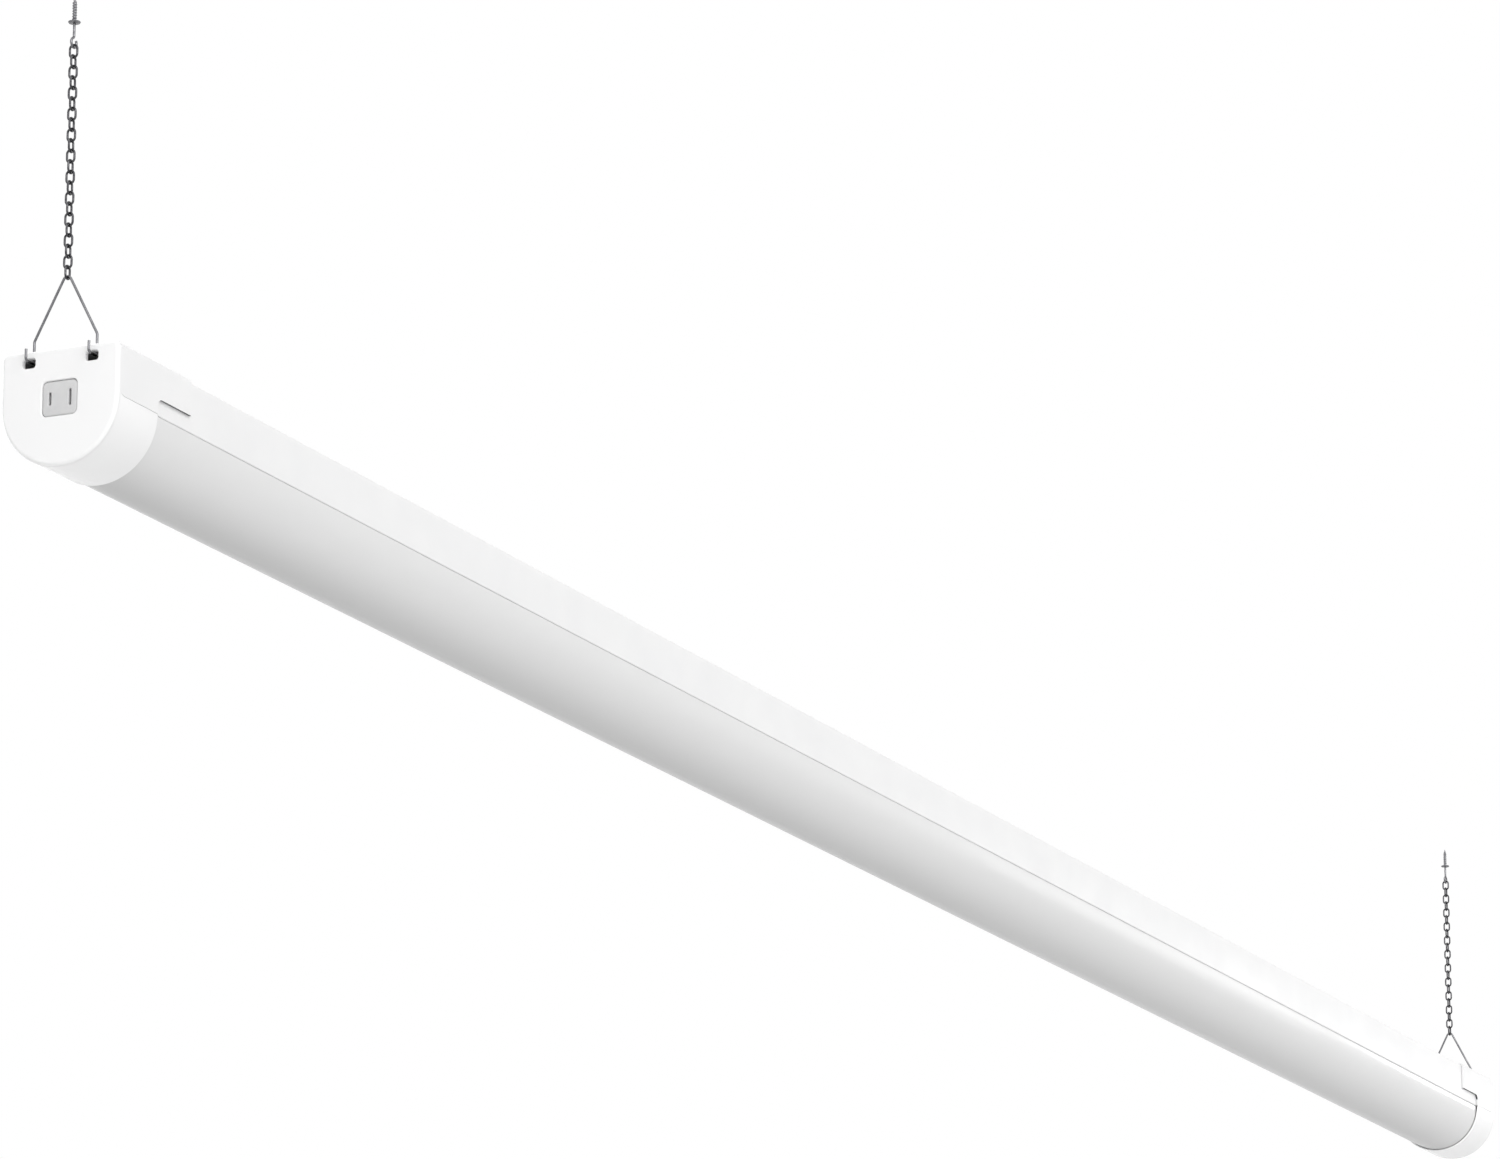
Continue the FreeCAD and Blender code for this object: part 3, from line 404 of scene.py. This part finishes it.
def chain_tree():
    """A row of oval links that hang in each other."""
    tree, given, result = new_tree("oval_links", ("Count", "Int"), ("Pitch", "Float"),
                                   ("Long", "Float"), ("Wide", "Float"), ("Wire", "Float"),
                                   ("Turn", "Float"), ("Top", "Vector"), ("Finish", "Material"))
    wire = given.outputs["Wire"]
    wide = maths(tree, "SUBTRACT", given.outputs["Wide"], wire)
    nearly_half = 0.499
    oval = tree.nodes.new("GeometryNodeCurvePrimitiveQuadrilateral")
    tree.links.new(wide, oval.inputs["Width"])
    tree.links.new(maths(tree, "SUBTRACT", given.outputs["Long"], wire), oval.inputs["Height"])
    rounded = tree.nodes.new("GeometryNodeFilletCurve")
    rounded.mode = "POLY"
    rounded.inputs["Count"].default_value = 5
    rounded.inputs["Limit Radius"].default_value = True
    tree.links.new(maths(tree, "MULTIPLY", wide, nearly_half), rounded.inputs["Radius"])
    tree.links.new(oval.outputs[0], rounded.inputs["Curve"])
    section = tree.nodes.new("GeometryNodeCurvePrimitiveCircle")
    section.inputs["Resolution"].default_value = 10
    tree.links.new(maths(tree, "DIVIDE", wire, 2.0), section.inputs["Radius"])
    link = tree.nodes.new("GeometryNodeCurveToMesh")
    tree.links.new(rounded.outputs[0], link.inputs["Curve"])
    tree.links.new(section.outputs[0], link.inputs["Profile Curve"])
    upright = tree.nodes.new("GeometryNodeTransform")
    upright.inputs["Rotation"].default_value = (math.pi / 2, 0, 0)
    tree.links.new(link.outputs[0], upright.inputs["Geometry"])
    row, drop = tree.nodes.new("GeometryNodeMeshLine"), tree.nodes.new("ShaderNodeCombineXYZ")
    tree.links.new(maths(tree, "MULTIPLY", given.outputs["Pitch"], -1.0), drop.inputs[2])
    tree.links.new(given.outputs["Count"], row.inputs["Count"])
    tree.links.new(given.outputs["Top"], row.inputs["Start Location"])
    tree.links.new(drop.outputs[0], row.inputs["Offset"])
    number, turn = tree.nodes.new("GeometryNodeInputIndex"), tree.nodes.new("ShaderNodeCombineXYZ")
    quarter = maths(tree, "MULTIPLY", maths(tree, "MODULO", number.outputs[0], 2.0), math.pi / 2)
    tree.links.new(maths(tree, "ADD", quarter, given.outputs["Turn"]), turn.inputs[2])
    hung = tree.nodes.new("GeometryNodeInstanceOnPoints")
    tree.links.new(row.outputs[0], hung.inputs["Points"])
    tree.links.new(upright.outputs[0], hung.inputs["Instance"])
    tree.links.new(turn.outputs[0], hung.inputs["Rotation"])
    return end_tree(tree, hung.outputs[0], given, result)


chain_nickel = finish("chain_nickel", (0.11, 0.11, 0.115), (0.045, 0.045, 0.05), (0.24, 0.40), 500,
                      2600, 5e-6, Metallic=1.0)
links = chain_tree()
link_size = dict(Pitch=0.0062, Long=0.0090, Wide=0.0061, Wire=0.00135, Finish=chain_nickel)
top_z, second_z = -0.017649, -0.023849
top_link = grown(links, Count=1, Turn=math.pi / 2, Top=(hook_x, 0, top_z), **link_size)
other_links = grown(links, Count=21, Turn=0.0, Top=(hook_x, 0, second_z), **link_size)
for end, top_mesh, row_mesh in (("near", top_link, other_links),
                                ("far", far_copy(top_link), far_copy(other_links))):
    add_piece("oval_top_link_" + end, top_mesh, chain_nickel, end + "_top_link", "chain_nickel",
              "chain_%s_top_link" % end)
    add_piece("oval_links_" + end, row_mesh, chain_nickel, end + "_chain", "chain_nickel",
              "chain_%s_links" % end)


# ---------------------------------------------------------------- hangers
# Each hanger is one bright zinc-plated wire bent to a narrow V. Its peak sits in the chain's last
# link, and its two tips come out of the end cap's holes and turn up in front of it.

def bent_route(corners, bends, steps=8):
    """A wire's middle line through its corners, each one rounded to its bend radius."""
    line = [Vector(corners[0])]
    for before, corner, after, radius in zip(corners, corners[1:], corners[2:], bends):
        corner = Vector(corner)
        back, ahead = (Vector(before) - corner).normalized(), (Vector(after) - corner).normalized()
        half = back.angle(ahead) / 2
        middle = corner + (back + ahead).normalized() * (radius / math.sin(half))
        first = corner + back * (radius / math.tan(half)) - middle
        axis = first.cross(corner + ahead * (radius / math.tan(half)) - middle).normalized()
        turn = math.pi - 2 * half
        line += [middle + Matrix.Rotation(turn * step / steps, 3, axis) @ first
                 for step in range(steps + 1)]
    return line + [Vector(corners[-1])]


hanger_steel = finish("hanger_steel", (0.27, 0.27, 0.28), (0.15, 0.15, 0.16), (0.22, 0.34), 300,
                      2400, 3e-6, stretch=(1, 1, 0.15), Metallic=1.0)
leg_y, wire_z, knee_z, peak_z, tip_x = 0.020, -0.198799, -0.185899, -0.149899, -1.2224
tip_rise, foot_bend, knee_bend, peak_bend, hanger_wire = 0.0065, 0.002, 0.004, 0.0025, 0.0008
point_z = peak_z + peak_bend * (math.hypot(1, (peak_z - knee_z) / leg_y) - 1)
half_hanger = [(tip_x, leg_y, wire_z + tip_rise), (tip_x, leg_y, wire_z), (hook_x, leg_y, wire_z),
               (hook_x, leg_y, knee_z)]
half_bends = [foot_bend, foot_bend, knee_bend]
hanger_line = bent_route(half_hanger + [(hook_x, 0, point_z)]
                         + [(x, -y, z) for x, y, z in reversed(half_hanger)],
                         half_bends + [peak_bend] + half_bends[::-1])
hanger = wire_mesh(hanger_line, hanger_wire)
for end, mesh in (("near", hanger), ("far", far_copy(hanger))):
    add_piece("wire_hanger_" + end, mesh, hanger_steel, end + "_chain", "hanger_steel",
              "hanger_" + end)


# ---------------------------------------------------------------- housing
# A channel folded from 1 mm steel sheet, powder-coated satin white. Its lower edges turn in as
# lips, over which the lens hooks.

def soft_outline(corners, steps=5):
    """Points round an outline across the lamp. Each corner is Y, Z and its rounding."""
    points = []
    for index, (y, z, radius) in enumerate(corners):
        corner = Vector((y, z))
        before, after = corners[index - 1][:2], corners[(index + 1) % len(corners)][:2]
        if radius == 0:
            points.append(corner)
            continue
        back, ahead = (Vector(before) - corner).normalized(), (Vector(after) - corner).normalized()
        half = back.angle(ahead) / 2
        middle = corner + (back + ahead).normalized() * (radius / math.sin(half))
        first = corner + back * (radius / math.tan(half)) - middle
        last = corner + ahead * (radius / math.tan(half)) - middle
        turn = math.copysign(math.pi - 2 * half, first.x * last.y - first.y * last.x)
        points += [middle + Matrix.Rotation(turn * step / steps, 2) @ first
                   for step in range(steps + 1)]
    return points


def lofted(stations):
    """A closed skin over outlines with the same number of points, each at its own X."""
    shape = bmesh.new()
    rings = [[shape.verts.new((x, y, z)) for y, z in outline] for x, outline in stations]
    for near, far in zip(rings, rings[1:]):
        for index in range(len(near)):
            shape.faces.new((near[index - 1], near[index], far[index], far[index - 1]))
    shape.faces.new(rings[0])
    shape.faces.new(rings[-1])
    bmesh.ops.recalc_face_normals(shape, faces=shape.faces)
    return plain_mesh(shape)


white_paint = finish("white_paint", (0.855, 0.855, 0.855), (0.835, 0.835, 0.838), (0.36, 0.46), 25,
                     1500, 9e-6)
cap_top, lens_line, housing_end = -0.192899, -0.223899, 1.2008
outside_y, inside_y, lip_y, sheet = 0.0354, 0.0344, 0.0320, 0.001
outer_top, inner_top = cap_top - 0.0016, cap_top - 0.0026
half_channel = [(-outside_y, lens_line, 0.0009), (-lip_y, lens_line, 0.0002),
                (-lip_y, lens_line + sheet, 0.0002), (-inside_y, lens_line + sheet, 0.0003),
                (-inside_y, inner_top, 0.0005)]
channel = soft_outline(half_channel + [(-y, z, radius) for y, z, radius in reversed(half_channel)]
                       + [(outside_y, outer_top, 0.0012), (-outside_y, outer_top, 0.0012)])
housing_mesh = lofted([(x, channel) for x in (-housing_end, housing_end)])
add_piece("folded_housing", housing_mesh, white_paint, "lamp", "white_paint", "housing")


# ---------------------------------------------------------------- lens
# A half-round extrusion of frosted polycarbonate, satin outside, which snaps over the housing's
# lips. Its colour carries painted shade: darker towards its underside, a little more on the +Y
# side.

frosted_lens = finish("frosted_lens", (0.80, 0.80, 0.80), (0.775, 0.775, 0.775), (0.30, 0.40), 12,
                      2200, 5e-6, stretch=(0.05, 1, 1), IOR=1.25, Coat_Weight=0.30,
                      Coat_Roughness=0.06)
lens_radius, lens_wall, lens_top, lens_end = 0.0353, 0.0012, lens_line - 0.0003, 1.201
# Painted shade: the lens's colour is multiplied darker towards its underside, along an axis tilted
# a little towards +Y.
painted_shade_lean, painted_shade_start, painted_shade_curve, painted_shade_most, painted_shade_least = math.radians(20), 0.1, 2.6, -0.38, 0.96
look = frosted_lens.node_tree
shader = look.nodes["Principled BSDF"]
place, depth = look.nodes.new("ShaderNodeTexCoord"), look.nodes.new("ShaderNodeVectorMath")
painted_shade_depth, painted_shade_mix = look.nodes.new("ShaderNodeMapRange"), look.nodes.new("ShaderNodeMix")
curve, painted_shade_amount = look.nodes.new("ShaderNodeMath"), look.nodes.new("ShaderNodeMath")
depth.operation, curve.operation, painted_shade_amount.operation = "DOT_PRODUCT", "POWER", "MULTIPLY_ADD"
depth.inputs[1].default_value = (0, math.sin(painted_shade_lean), -math.cos(painted_shade_lean))
axis_depth = -lens_top * math.cos(painted_shade_lean)
painted_shade_depth.inputs["From Min"].default_value = axis_depth + lens_radius * painted_shade_start
painted_shade_depth.inputs["From Max"].default_value = axis_depth + lens_radius
curve.inputs[1].default_value = painted_shade_curve
painted_shade_amount.inputs[1].default_value, painted_shade_amount.inputs[2].default_value = painted_shade_most, painted_shade_least
painted_shade_mix.data_type, painted_shade_mix.blend_type = "RGBA", "MULTIPLY"
painted_shade_mix.inputs["Factor"].default_value = 1.0
look.links.new(place.outputs["Object"], depth.inputs[0])
look.links.new(depth.outputs["Value"], painted_shade_depth.inputs["Value"])
look.links.new(painted_shade_depth.outputs["Result"], curve.inputs[0])
look.links.new(curve.outputs[0], painted_shade_amount.inputs[0])
look.links.new(shader.inputs["Base Color"].links[0].from_socket, painted_shade_mix.inputs[colour_a])
look.links.new(painted_shade_amount.outputs[0], painted_shade_mix.inputs[colour_b])
look.links.new(painted_shade_mix.outputs[mixed_colour], shader.inputs["Base Color"])

inner_radius, foot_z, catch_z = lens_radius - lens_wall, lens_line - 0.0015, lens_line + 0.0013
hook_out, hook_in, hook_over = 0.0317, 0.0305, 0.0016
right_half = [(lens_radius, lens_top, 0.0005), (hook_out, lens_top, 0), (hook_out, catch_z, 0),
              (hook_out + hook_over, catch_z, 0), (hook_out + hook_over, catch_z + lens_wall, 0),
              (hook_in, catch_z + lens_wall, 0), (hook_in, foot_z, 0)]
round_steps, inner_start = 72, math.asin(lens_wall / inner_radius)
outer_arc = [(-lens_radius * math.cos(math.pi * step / round_steps),
              lens_top - lens_radius * math.sin(math.pi * step / round_steps), 0)
             for step in range(1, round_steps)]
inner_arc = []
for step in range(round_steps + 1):
    angle = inner_start + (math.pi - 2 * inner_start) * step / round_steps
    inner_arc.append((inner_radius * math.cos(angle), lens_top - inner_radius * math.sin(angle), 0))
lens_outline = soft_outline(outer_arc + right_half + inner_arc
                            + [(-y, z, radius) for y, z, radius in reversed(right_half)])
lens_mesh = lofted([(x, lens_outline) for x in (-lens_end, lens_end)])
add_piece("half_round_lens", lens_mesh, frosted_lens, "lamp", "frosted_lens", "lens")


# ---------------------------------------------------------------- end caps
# Each end cap is one gloss white moulding: a face plate with rounded edges, a deep cup round the
# lens's end, and a spigot inside the housing. The face has two hanger holes and an opening for the
# outlet or the inlet.

half_width = 0.037
face_x, plate_back, edge_round, edge_steps = -1.219, -1.216, 0.0022, 8


def half_round(half, steps=64):
    """Points along the lamp's half-round underside, from one side to the other."""
    return [(-half * math.cos(math.pi * step / steps),
             lens_line - half * math.sin(math.pi * step / steps)) for step in range(steps + 1)]


def d_outline(inset, corner=0.0042):
    """The lamp's end-on outline: flat top, upright sides and a half-round underside."""
    half = half_width - inset
    top = [(half, cap_top - inset, corner - inset), (-half, cap_top - inset, corner - inset)]
    return soft_outline([(y, z, 0) for y, z in half_round(half)] + top, steps=8)


def cup_outline(inset, rise, inner=0.0356):
    """The cup's section: a thin half-round shell with short upright edges."""
    points = []
    for half, order in ((half_width - inset, 1), (inner + inset, -1)):
        arc = [(-half, lens_line + rise), *half_round(half), (half, lens_line + rise)]
        points += arc[::order]
    return points


def u_outline(half, wall, high, low, corner=0.0):
    """An open channel's section, with rounded outer bends."""
    inner = max(corner - wall, 0.0)
    upper = [(-half, high, corner), (half, high, corner)]
    lower = [(half - wall, low, 0), (half - wall, high - wall, inner),
             (wall - half, high - wall, inner), (wall - half, low, 0), (-half, low, 0)]
    return soft_outline(upper + [(half, low, 0)] + lower)


def box_outline(y, z, wide, tall, corner):
    """A rounded rectangle round Y and Z. Wide and tall are half of its sides."""
    return soft_outline([(y - wide, z - tall, corner), (y + wide, z - tall, corner),
                         (y + wide, z + tall, corner), (y - wide, z + tall, corner)], steps=6)


def mouth(start, y, z, wide, tall, corner, edge):
    """A cutter for an opening. Its edge lists, inwards from start, how much wider it still is."""
    return lofted([(start + x, box_outline(y, z, wide + grow, tall + grow, corner + grow))
                   for x, grow in edge])


def carved(mesh, *cutters):
    """A mesh with other closed meshes cut out of it."""
    block = bpy.data.objects.new("block", mesh)
    tools = []
    for cutter in cutters:
        tool = bpy.data.objects.new("tool", cutter)
        scene.collection.objects.link(tool)
        tools.append(tool)
        cut = block.modifiers.new("cut", "BOOLEAN")
        cut.object = tool
        cut.solver = "EXACT"
    result = made_mesh(block)
    for tool in tools:
        bpy.data.objects.remove(tool)
    return result


fillet, fillet_steps = 0.0045, 8


def fillet_rise(distance):
    """How far the fillet between the cap's plate and its cup still rises, away from the plate."""
    if distance >= fillet:
        return 0.0
    return fillet - math.sqrt(fillet ** 2 - (fillet - distance) ** 2)


white_cap = finish("white_cap", (0.935, 0.935, 0.935), (0.92, 0.92, 0.922), (0.20, 0.27), 18, 500,
                   4e-6)
plate_stations = []
for step in range(edge_steps, -1, -1):
    angle = math.pi / 2 * step / edge_steps
    plate_stations.append((face_x + edge_round * (1 - math.sin(angle)),
                           d_outline(edge_round * (1 - math.cos(angle)))))
plate = lofted(plate_stations + [(plate_back, d_outline(0))])
hole_z, hole_wide, hole_tall, hole_corner = cap_top - 0.007, 0.004, 0.00275, 0.0016
outlet_z, opening_wide, opening_tall, opening_corner = cap_top - 0.029, 0.0113, 0.0103, 0.0033
hole_edge = ((-0.001, 0.0005), (0, 0.0005), (0.0003, 0.00015), (0.0007, 0), (0.004, 0))
opening_edge = ((-0.001, 0.0004), (0, 0.0004), (0.0003, 0.0001), (0.0006, 0), (0.004, 0))
holes = [mouth(face_x, y, hole_z, hole_wide, hole_tall, hole_corner, hole_edge)
         for y in (-leg_y, leg_y)]
opening = mouth(face_x, 0, outlet_z, opening_wide, opening_tall, opening_corner, opening_edge)
plate = carved(plate, *holes, opening)

cup_rim, cup_root = -1.173, 0.0003
rim_edge = ((0.0006, 0), (0.0003, 0.00005), (0.0001, 0.0002), (0, 0.0004))
cup_stations = [(plate_back - cup_root, cup_outline(0, fillet_rise(0)))]
cup_stations += [(plate_back + fillet * step / fillet_steps,
                  cup_outline(0, fillet_rise(fillet * step / fillet_steps)))
                 for step in range(fillet_steps + 1)]
cup_stations += [(cup_rim - back, cup_outline(inset, -inset)) for back, inset in rim_edge]

spigot_half, spigot_wall, spigot_high, spigot_end = 0.0341, 0.0016, 0.015, -1.190
spigot_top, leg_wide, leg_room, sharp = cap_top - 0.0029, 0.0019, (-1.217, -1.2097), 0.0001


def leg_slots(z, tall):
    """Cutters round Z that make room for the hanger's two legs. Tall is half of their height."""
    return [lofted([(x, box_outline(y, z, leg_wide, tall, sharp)) for x in leg_room])
            for y in (-leg_y, leg_y)]


spigot_section = u_outline(spigot_half, spigot_wall, spigot_top, spigot_top - spigot_high)
spigot = lofted([(x, spigot_section) for x in (plate_back, spigot_end)])
spigot_slot_z, spigot_slot_tall = cap_top - 0.002, 0.006
spigot = carved(spigot, *leg_slots(spigot_slot_z, spigot_slot_tall))
cap_mesh = joined(plate, lofted(cup_stations), spigot)
for end, mesh in (("near", cap_mesh), ("far", far_copy(cap_mesh))):
    add_piece("moulded_cap_" + end, mesh, white_cap, "lamp", "white_cap", "end_cap_" + end)


# ---------------------------------------------------------------- end sleeves
# A sleeve of pre-painted steel sits over each end of the housing, with its lower edge on the cup.
# Past the cup's rim it is cut back; the cut edge's downward faces there are coloured near black,
# as painted shade for the shadow under the edge.

sleeve_sheet, sleeve_bend, sleeve_end, seam = 0.0013, 0.003, -1.135, 0.0003
notch_z, notch_corner, notch_steps = lens_line + 0.0092, 0.0040, 8
sleeve_slot_tall, edge_reach, downward, painted_shade_colour = 0.004, 0.0005, -0.2, (0.04, 0.04, 0.045, 1)


def sleeve_low(x):
    """The sleeve's lower edge: along the cup's fillet, then up into the notch."""
    if x <= cup_rim:
        return lens_line + seam + fillet_rise(x - plate_back)
    left = max(notch_corner - (x - cup_rim), 0.0)
    return notch_z - notch_corner + math.sqrt(notch_corner ** 2 - left ** 2)


hair = 0.00001
sleeve_places = [plate_back + fillet * step / fillet_steps for step in range(fillet_steps + 1)]
sleeve_places += [cup_rim] + [cup_rim + hair + notch_corner * step / notch_steps
                              for step in range(notch_steps + 1)] + [sleeve_end]
sleeve = lofted([(x, u_outline(half_width, sleeve_sheet, cap_top, sleeve_low(x), sleeve_bend))
                 for x in sleeve_places])
sleeve = carved(sleeve, *leg_slots(cap_top, sleeve_slot_tall))

# The painted shade goes on the faces past the rim that look down, up to just above the notch.
painted_shade_faces = sleeve.attributes.new("painted_shade_faces", "FLOAT", "FACE")
for face in sleeve.polygons:
    in_notch = face.center.x > cup_rim and face.center.z < notch_z + edge_reach
    painted_shade_faces.data[face.index].value = float(in_notch and face.normal.z < downward)

# The sleeve's finish is the housing's white paint with near-black painted shade mixed in on the
# marked faces.
sleeve_paint_and_shade = white_paint.copy()
sleeve_paint_and_shade.name = "sleeve_paint_and_shade"
look = sleeve_paint_and_shade.node_tree
shader = look.nodes["Principled BSDF"]
marked, painted = look.nodes.new("ShaderNodeAttribute"), look.nodes.new("ShaderNodeMix")
marked.attribute_name = "painted_shade_faces"
painted.data_type = "RGBA"
painted.inputs[colour_b].default_value = painted_shade_colour
look.links.new(marked.outputs["Fac"], painted.inputs["Factor"])
look.links.new(shader.inputs["Base Color"].links[0].from_socket, painted.inputs[colour_a])
look.links.new(painted.outputs[mixed_colour], shader.inputs["Base Color"])
for end, mesh in (("near", sleeve), ("far", far_copy(sleeve))):
    add_piece("steel_sleeve_" + end, mesh, sleeve_paint_and_shade, "lamp", "white_paint",
              "end_sleeve_" + end)


# ---------------------------------------------------------------- sleeve screws
# Two zinc-plated pan-head screws with a cross recess hold each sleeve on the housing. They are
# driven down through its flat top, one towards the front and one towards the back.

def screw_tree():
    """The same screw at four corners of a rectangle."""
    tree, given, result = new_tree("four_screws", ("Screw", "Geometry"), ("Along", "Float"),
                                   ("Across", "Float"), ("Height", "Float"),
                                   ("Finish", "Material"))
    corners = tree.nodes.new("GeometryNodeMeshGrid")
    tree.links.new(given.outputs["Along"], corners.inputs["Size X"])
    tree.links.new(given.outputs["Across"], corners.inputs["Size Y"])
    corners.inputs["Vertices X"].default_value = corners.inputs["Vertices Y"].default_value = 2
    raised, height = tree.nodes.new("GeometryNodeTransform"), tree.nodes.new("ShaderNodeCombineXYZ")
    tree.links.new(given.outputs["Height"], height.inputs[2])
    tree.links.new(corners.outputs[0], raised.inputs["Geometry"])
    tree.links.new(height.outputs[0], raised.inputs["Translation"])
    placed = tree.nodes.new("GeometryNodeInstanceOnPoints")
    tree.links.new(raised.outputs[0], placed.inputs["Points"])
    tree.links.new(given.outputs["Screw"], placed.inputs["Instance"])
    return end_tree(tree, placed.outputs[0], given, result)


screw_steel = finish("screw_steel", (0.66, 0.66, 0.65), (0.52, 0.52, 0.50), (0.25, 0.38), 700,
                     4000, 3e-6, Metallic=1.0)
screw_profile = [(0, -0.006), (0.0010, -0.006), (0.0016, -0.005), (0.0016, 0), (0.0030, 0),
                 (0.0030, 0.0005), (0.0027, 0.0011), (0.0019, 0.0016), (0.0010, 0.00178),
                 (0, 0.0018)]
cross_arm, cross_width, cross_middle, cross_deep = 0.0015, 0.00035, 0.0014, 0.0009
screws_along, screws_across = 2.350, 0.040
recess = [lofted([(x, box_outline(0, cross_middle, wide, cross_deep, sharp))
                  for x in (-long, long)])
          for long, wide in ((cross_arm, cross_width), (cross_width, cross_arm))]
screw = carved(turned(screw_profile, 0, sides=24), *recess)
screws_mesh = grown(screw_tree(), screw, Along=screws_along, Across=screws_across,
                    Height=cap_top, Finish=screw_steel)
add_piece("pan_head_screws", screws_mesh, screw_steel, "lamp", "screw_steel", "sleeve_screws")


# ---------------------------------------------------------------- outlet and inlet
# Both are grey mouldings that fill their opening in the cap. The outlet has a short and a tall slot
# over brass leaves; the inlet, at the far end, has two blades in a deep recess.

grey_socket = finish("grey_socket", (0.66, 0.66, 0.66), (0.62, 0.62, 0.625), (0.42, 0.54), 150,
                     1800, 8e-6)
front_x, outlet_back, rim_round, rim_steps = -1.2185, -1.1945, 0.0012, 6
outlet_wide, outlet_tall, outlet_corner = 0.011, 0.010, 0.003
outlet_stations = []
for step in range(rim_steps, -1, -1):
    angle = math.pi / 2 * step / rim_steps
    inset = rim_round * (1 - math.cos(angle))
    outlet_stations.append((front_x + rim_round * (1 - math.sin(angle)),
                            box_outline(0, outlet_z, outlet_wide - inset, outlet_tall - inset,
                                        outlet_corner - inset)))
outlet = lofted(outlet_stations
                + [(outlet_back, box_outline(0, outlet_z, outlet_wide, outlet_tall,
                                             outlet_corner))])
slot_y, short_slot, tall_slot, slot_wide, slot_corner = 0.00635, 0.0037, 0.0047, 0.0008, 0.0005
slot_edge = ((-0.001, 0.0004), (0, 0.0004), (0.0005, 0), (0.0035, 0))
pocket_wide, pocket_tall, pocket_depths = 0.0022, 0.0055, ((0.003, 0), (0.026, 0))
slots = []
for y, tall in ((slot_y, short_slot), (-slot_y, tall_slot)):
    slots.append(mouth(front_x, y, outlet_z, slot_wide, tall, slot_corner, slot_edge))
    slots.append(mouth(front_x, y, outlet_z, pocket_wide, pocket_tall, sharp, pocket_depths))
shoulder_wide, shoulder_tall, shoulder_corner, shoulder_back = 0.013, 0.012, 0.0005, -1.2145
bore_wide, bore_tall, bore_room = 0.0109, 0.0099, (-1.217, -1.214)
shoulder = lofted([(x, box_outline(0, outlet_z, shoulder_wide, shoulder_tall, shoulder_corner))
                   for x in (plate_back, shoulder_back)])
bore = lofted([(x, box_outline(0, outlet_z, bore_wide, bore_tall, outlet_corner))
               for x in bore_room])
outlet_mesh = joined(carved(outlet, *slots), carved(shoulder, bore))
add_piece("two_slot_outlet", outlet_mesh, grey_socket, "lamp", "grey_socket", "outlet_body")


def softened(node, width):
    """A copy of a solid's mesh with all its sharp edges slightly rounded."""
    shape = bmesh.new()
    shape.from_mesh(nodes[node].data)
    bmesh.ops.remove_doubles(shape, verts=shape.verts, dist=1e-6)
    bmesh.ops.dissolve_limit(shape, angle_limit=math.radians(1), verts=shape.verts,
                             edges=shape.edges)
    block = bpy.data.objects.new("block", plain_mesh(shape))
    rounding = block.modifiers.new("rounding", "BEVEL")
    rounding.width = width
    rounding.segments = 2
    rounding.limit_method = "ANGLE"
    rounding.angle_limit = math.radians(40)
    return made_mesh(block)


add_piece("recessed_inlet", softened("inlet_body", 0.0003), grey_socket, "lamp", "grey_socket",
          "inlet_body")


def coat(material, *names):
    """Gives solids that show as they are a fuller finish."""
    for name in names:
        for slot in nodes[name].material_slots:
            slot.material = material


contact_brass = finish("contact_brass", (0.80, 0.63, 0.34), (0.70, 0.52, 0.26), (0.20, 0.36), 250,
                       2500, 3e-6, stretch=(0.2, 1, 1), Metallic=1.0)
coat(contact_brass, "outlet_contact_live", "outlet_contact_neutral", "inlet_blade_live",
     "inlet_blade_neutral")


# ---------------------------------------------------------------- light engine
# A gloss white steel tray closes the housing and carries two aluminium-backed strips with rows of
# white LEDs. On its back sits the driver in a black case, wired from end to end.

along_wire = (0.2, 1, 1)
coat(finish("tray_paint", (0.91, 0.91, 0.91), (0.89, 0.89, 0.89), (0.18, 0.26), 20, 1200, 5e-6),
     "led_tray")
coat(finish("board_white", (0.92, 0.92, 0.90), (0.89, 0.89, 0.87), (0.30, 0.42), 200, 3000, 4e-6),
     "led_board_left", "led_board_right")
coat(finish("led_phosphor", (0.95, 0.86, 0.38), (0.93, 0.80, 0.28), (0.12, 0.22), 900, 5000, 4e-6),
     "led_chips")
coat(finish("driver_black", (0.07, 0.07, 0.07), (0.05, 0.05, 0.05), (0.42, 0.58), 120, 1400, 2e-5),
     "driver_case")
coat(finish("board_green", (0.05, 0.31, 0.15), (0.03, 0.22, 0.10), (0.22, 0.36), 350, 2800, 6e-6),
     "driver_board")
coat(finish("ferrite", (0.14, 0.14, 0.15), (0.09, 0.09, 0.10), (0.40, 0.62), 300, 3600, 1e-5),
     "driver_transformer")
coat(finish("capacitor_sleeve", (0.08, 0.09, 0.15), (0.06, 0.07, 0.12), (0.16, 0.28), 200, 1800,
            4e-6), "driver_capacitor")
coat(finish("wire_black", (0.035, 0.035, 0.035), (0.025, 0.025, 0.025), (0.38, 0.52), 200, 2200,
            8e-6, stretch=along_wire), "wire_live")
coat(finish("wire_white", (0.86, 0.86, 0.85), (0.82, 0.82, 0.81), (0.38, 0.52), 200, 2200, 8e-6,
            stretch=along_wire), "wire_neutral")
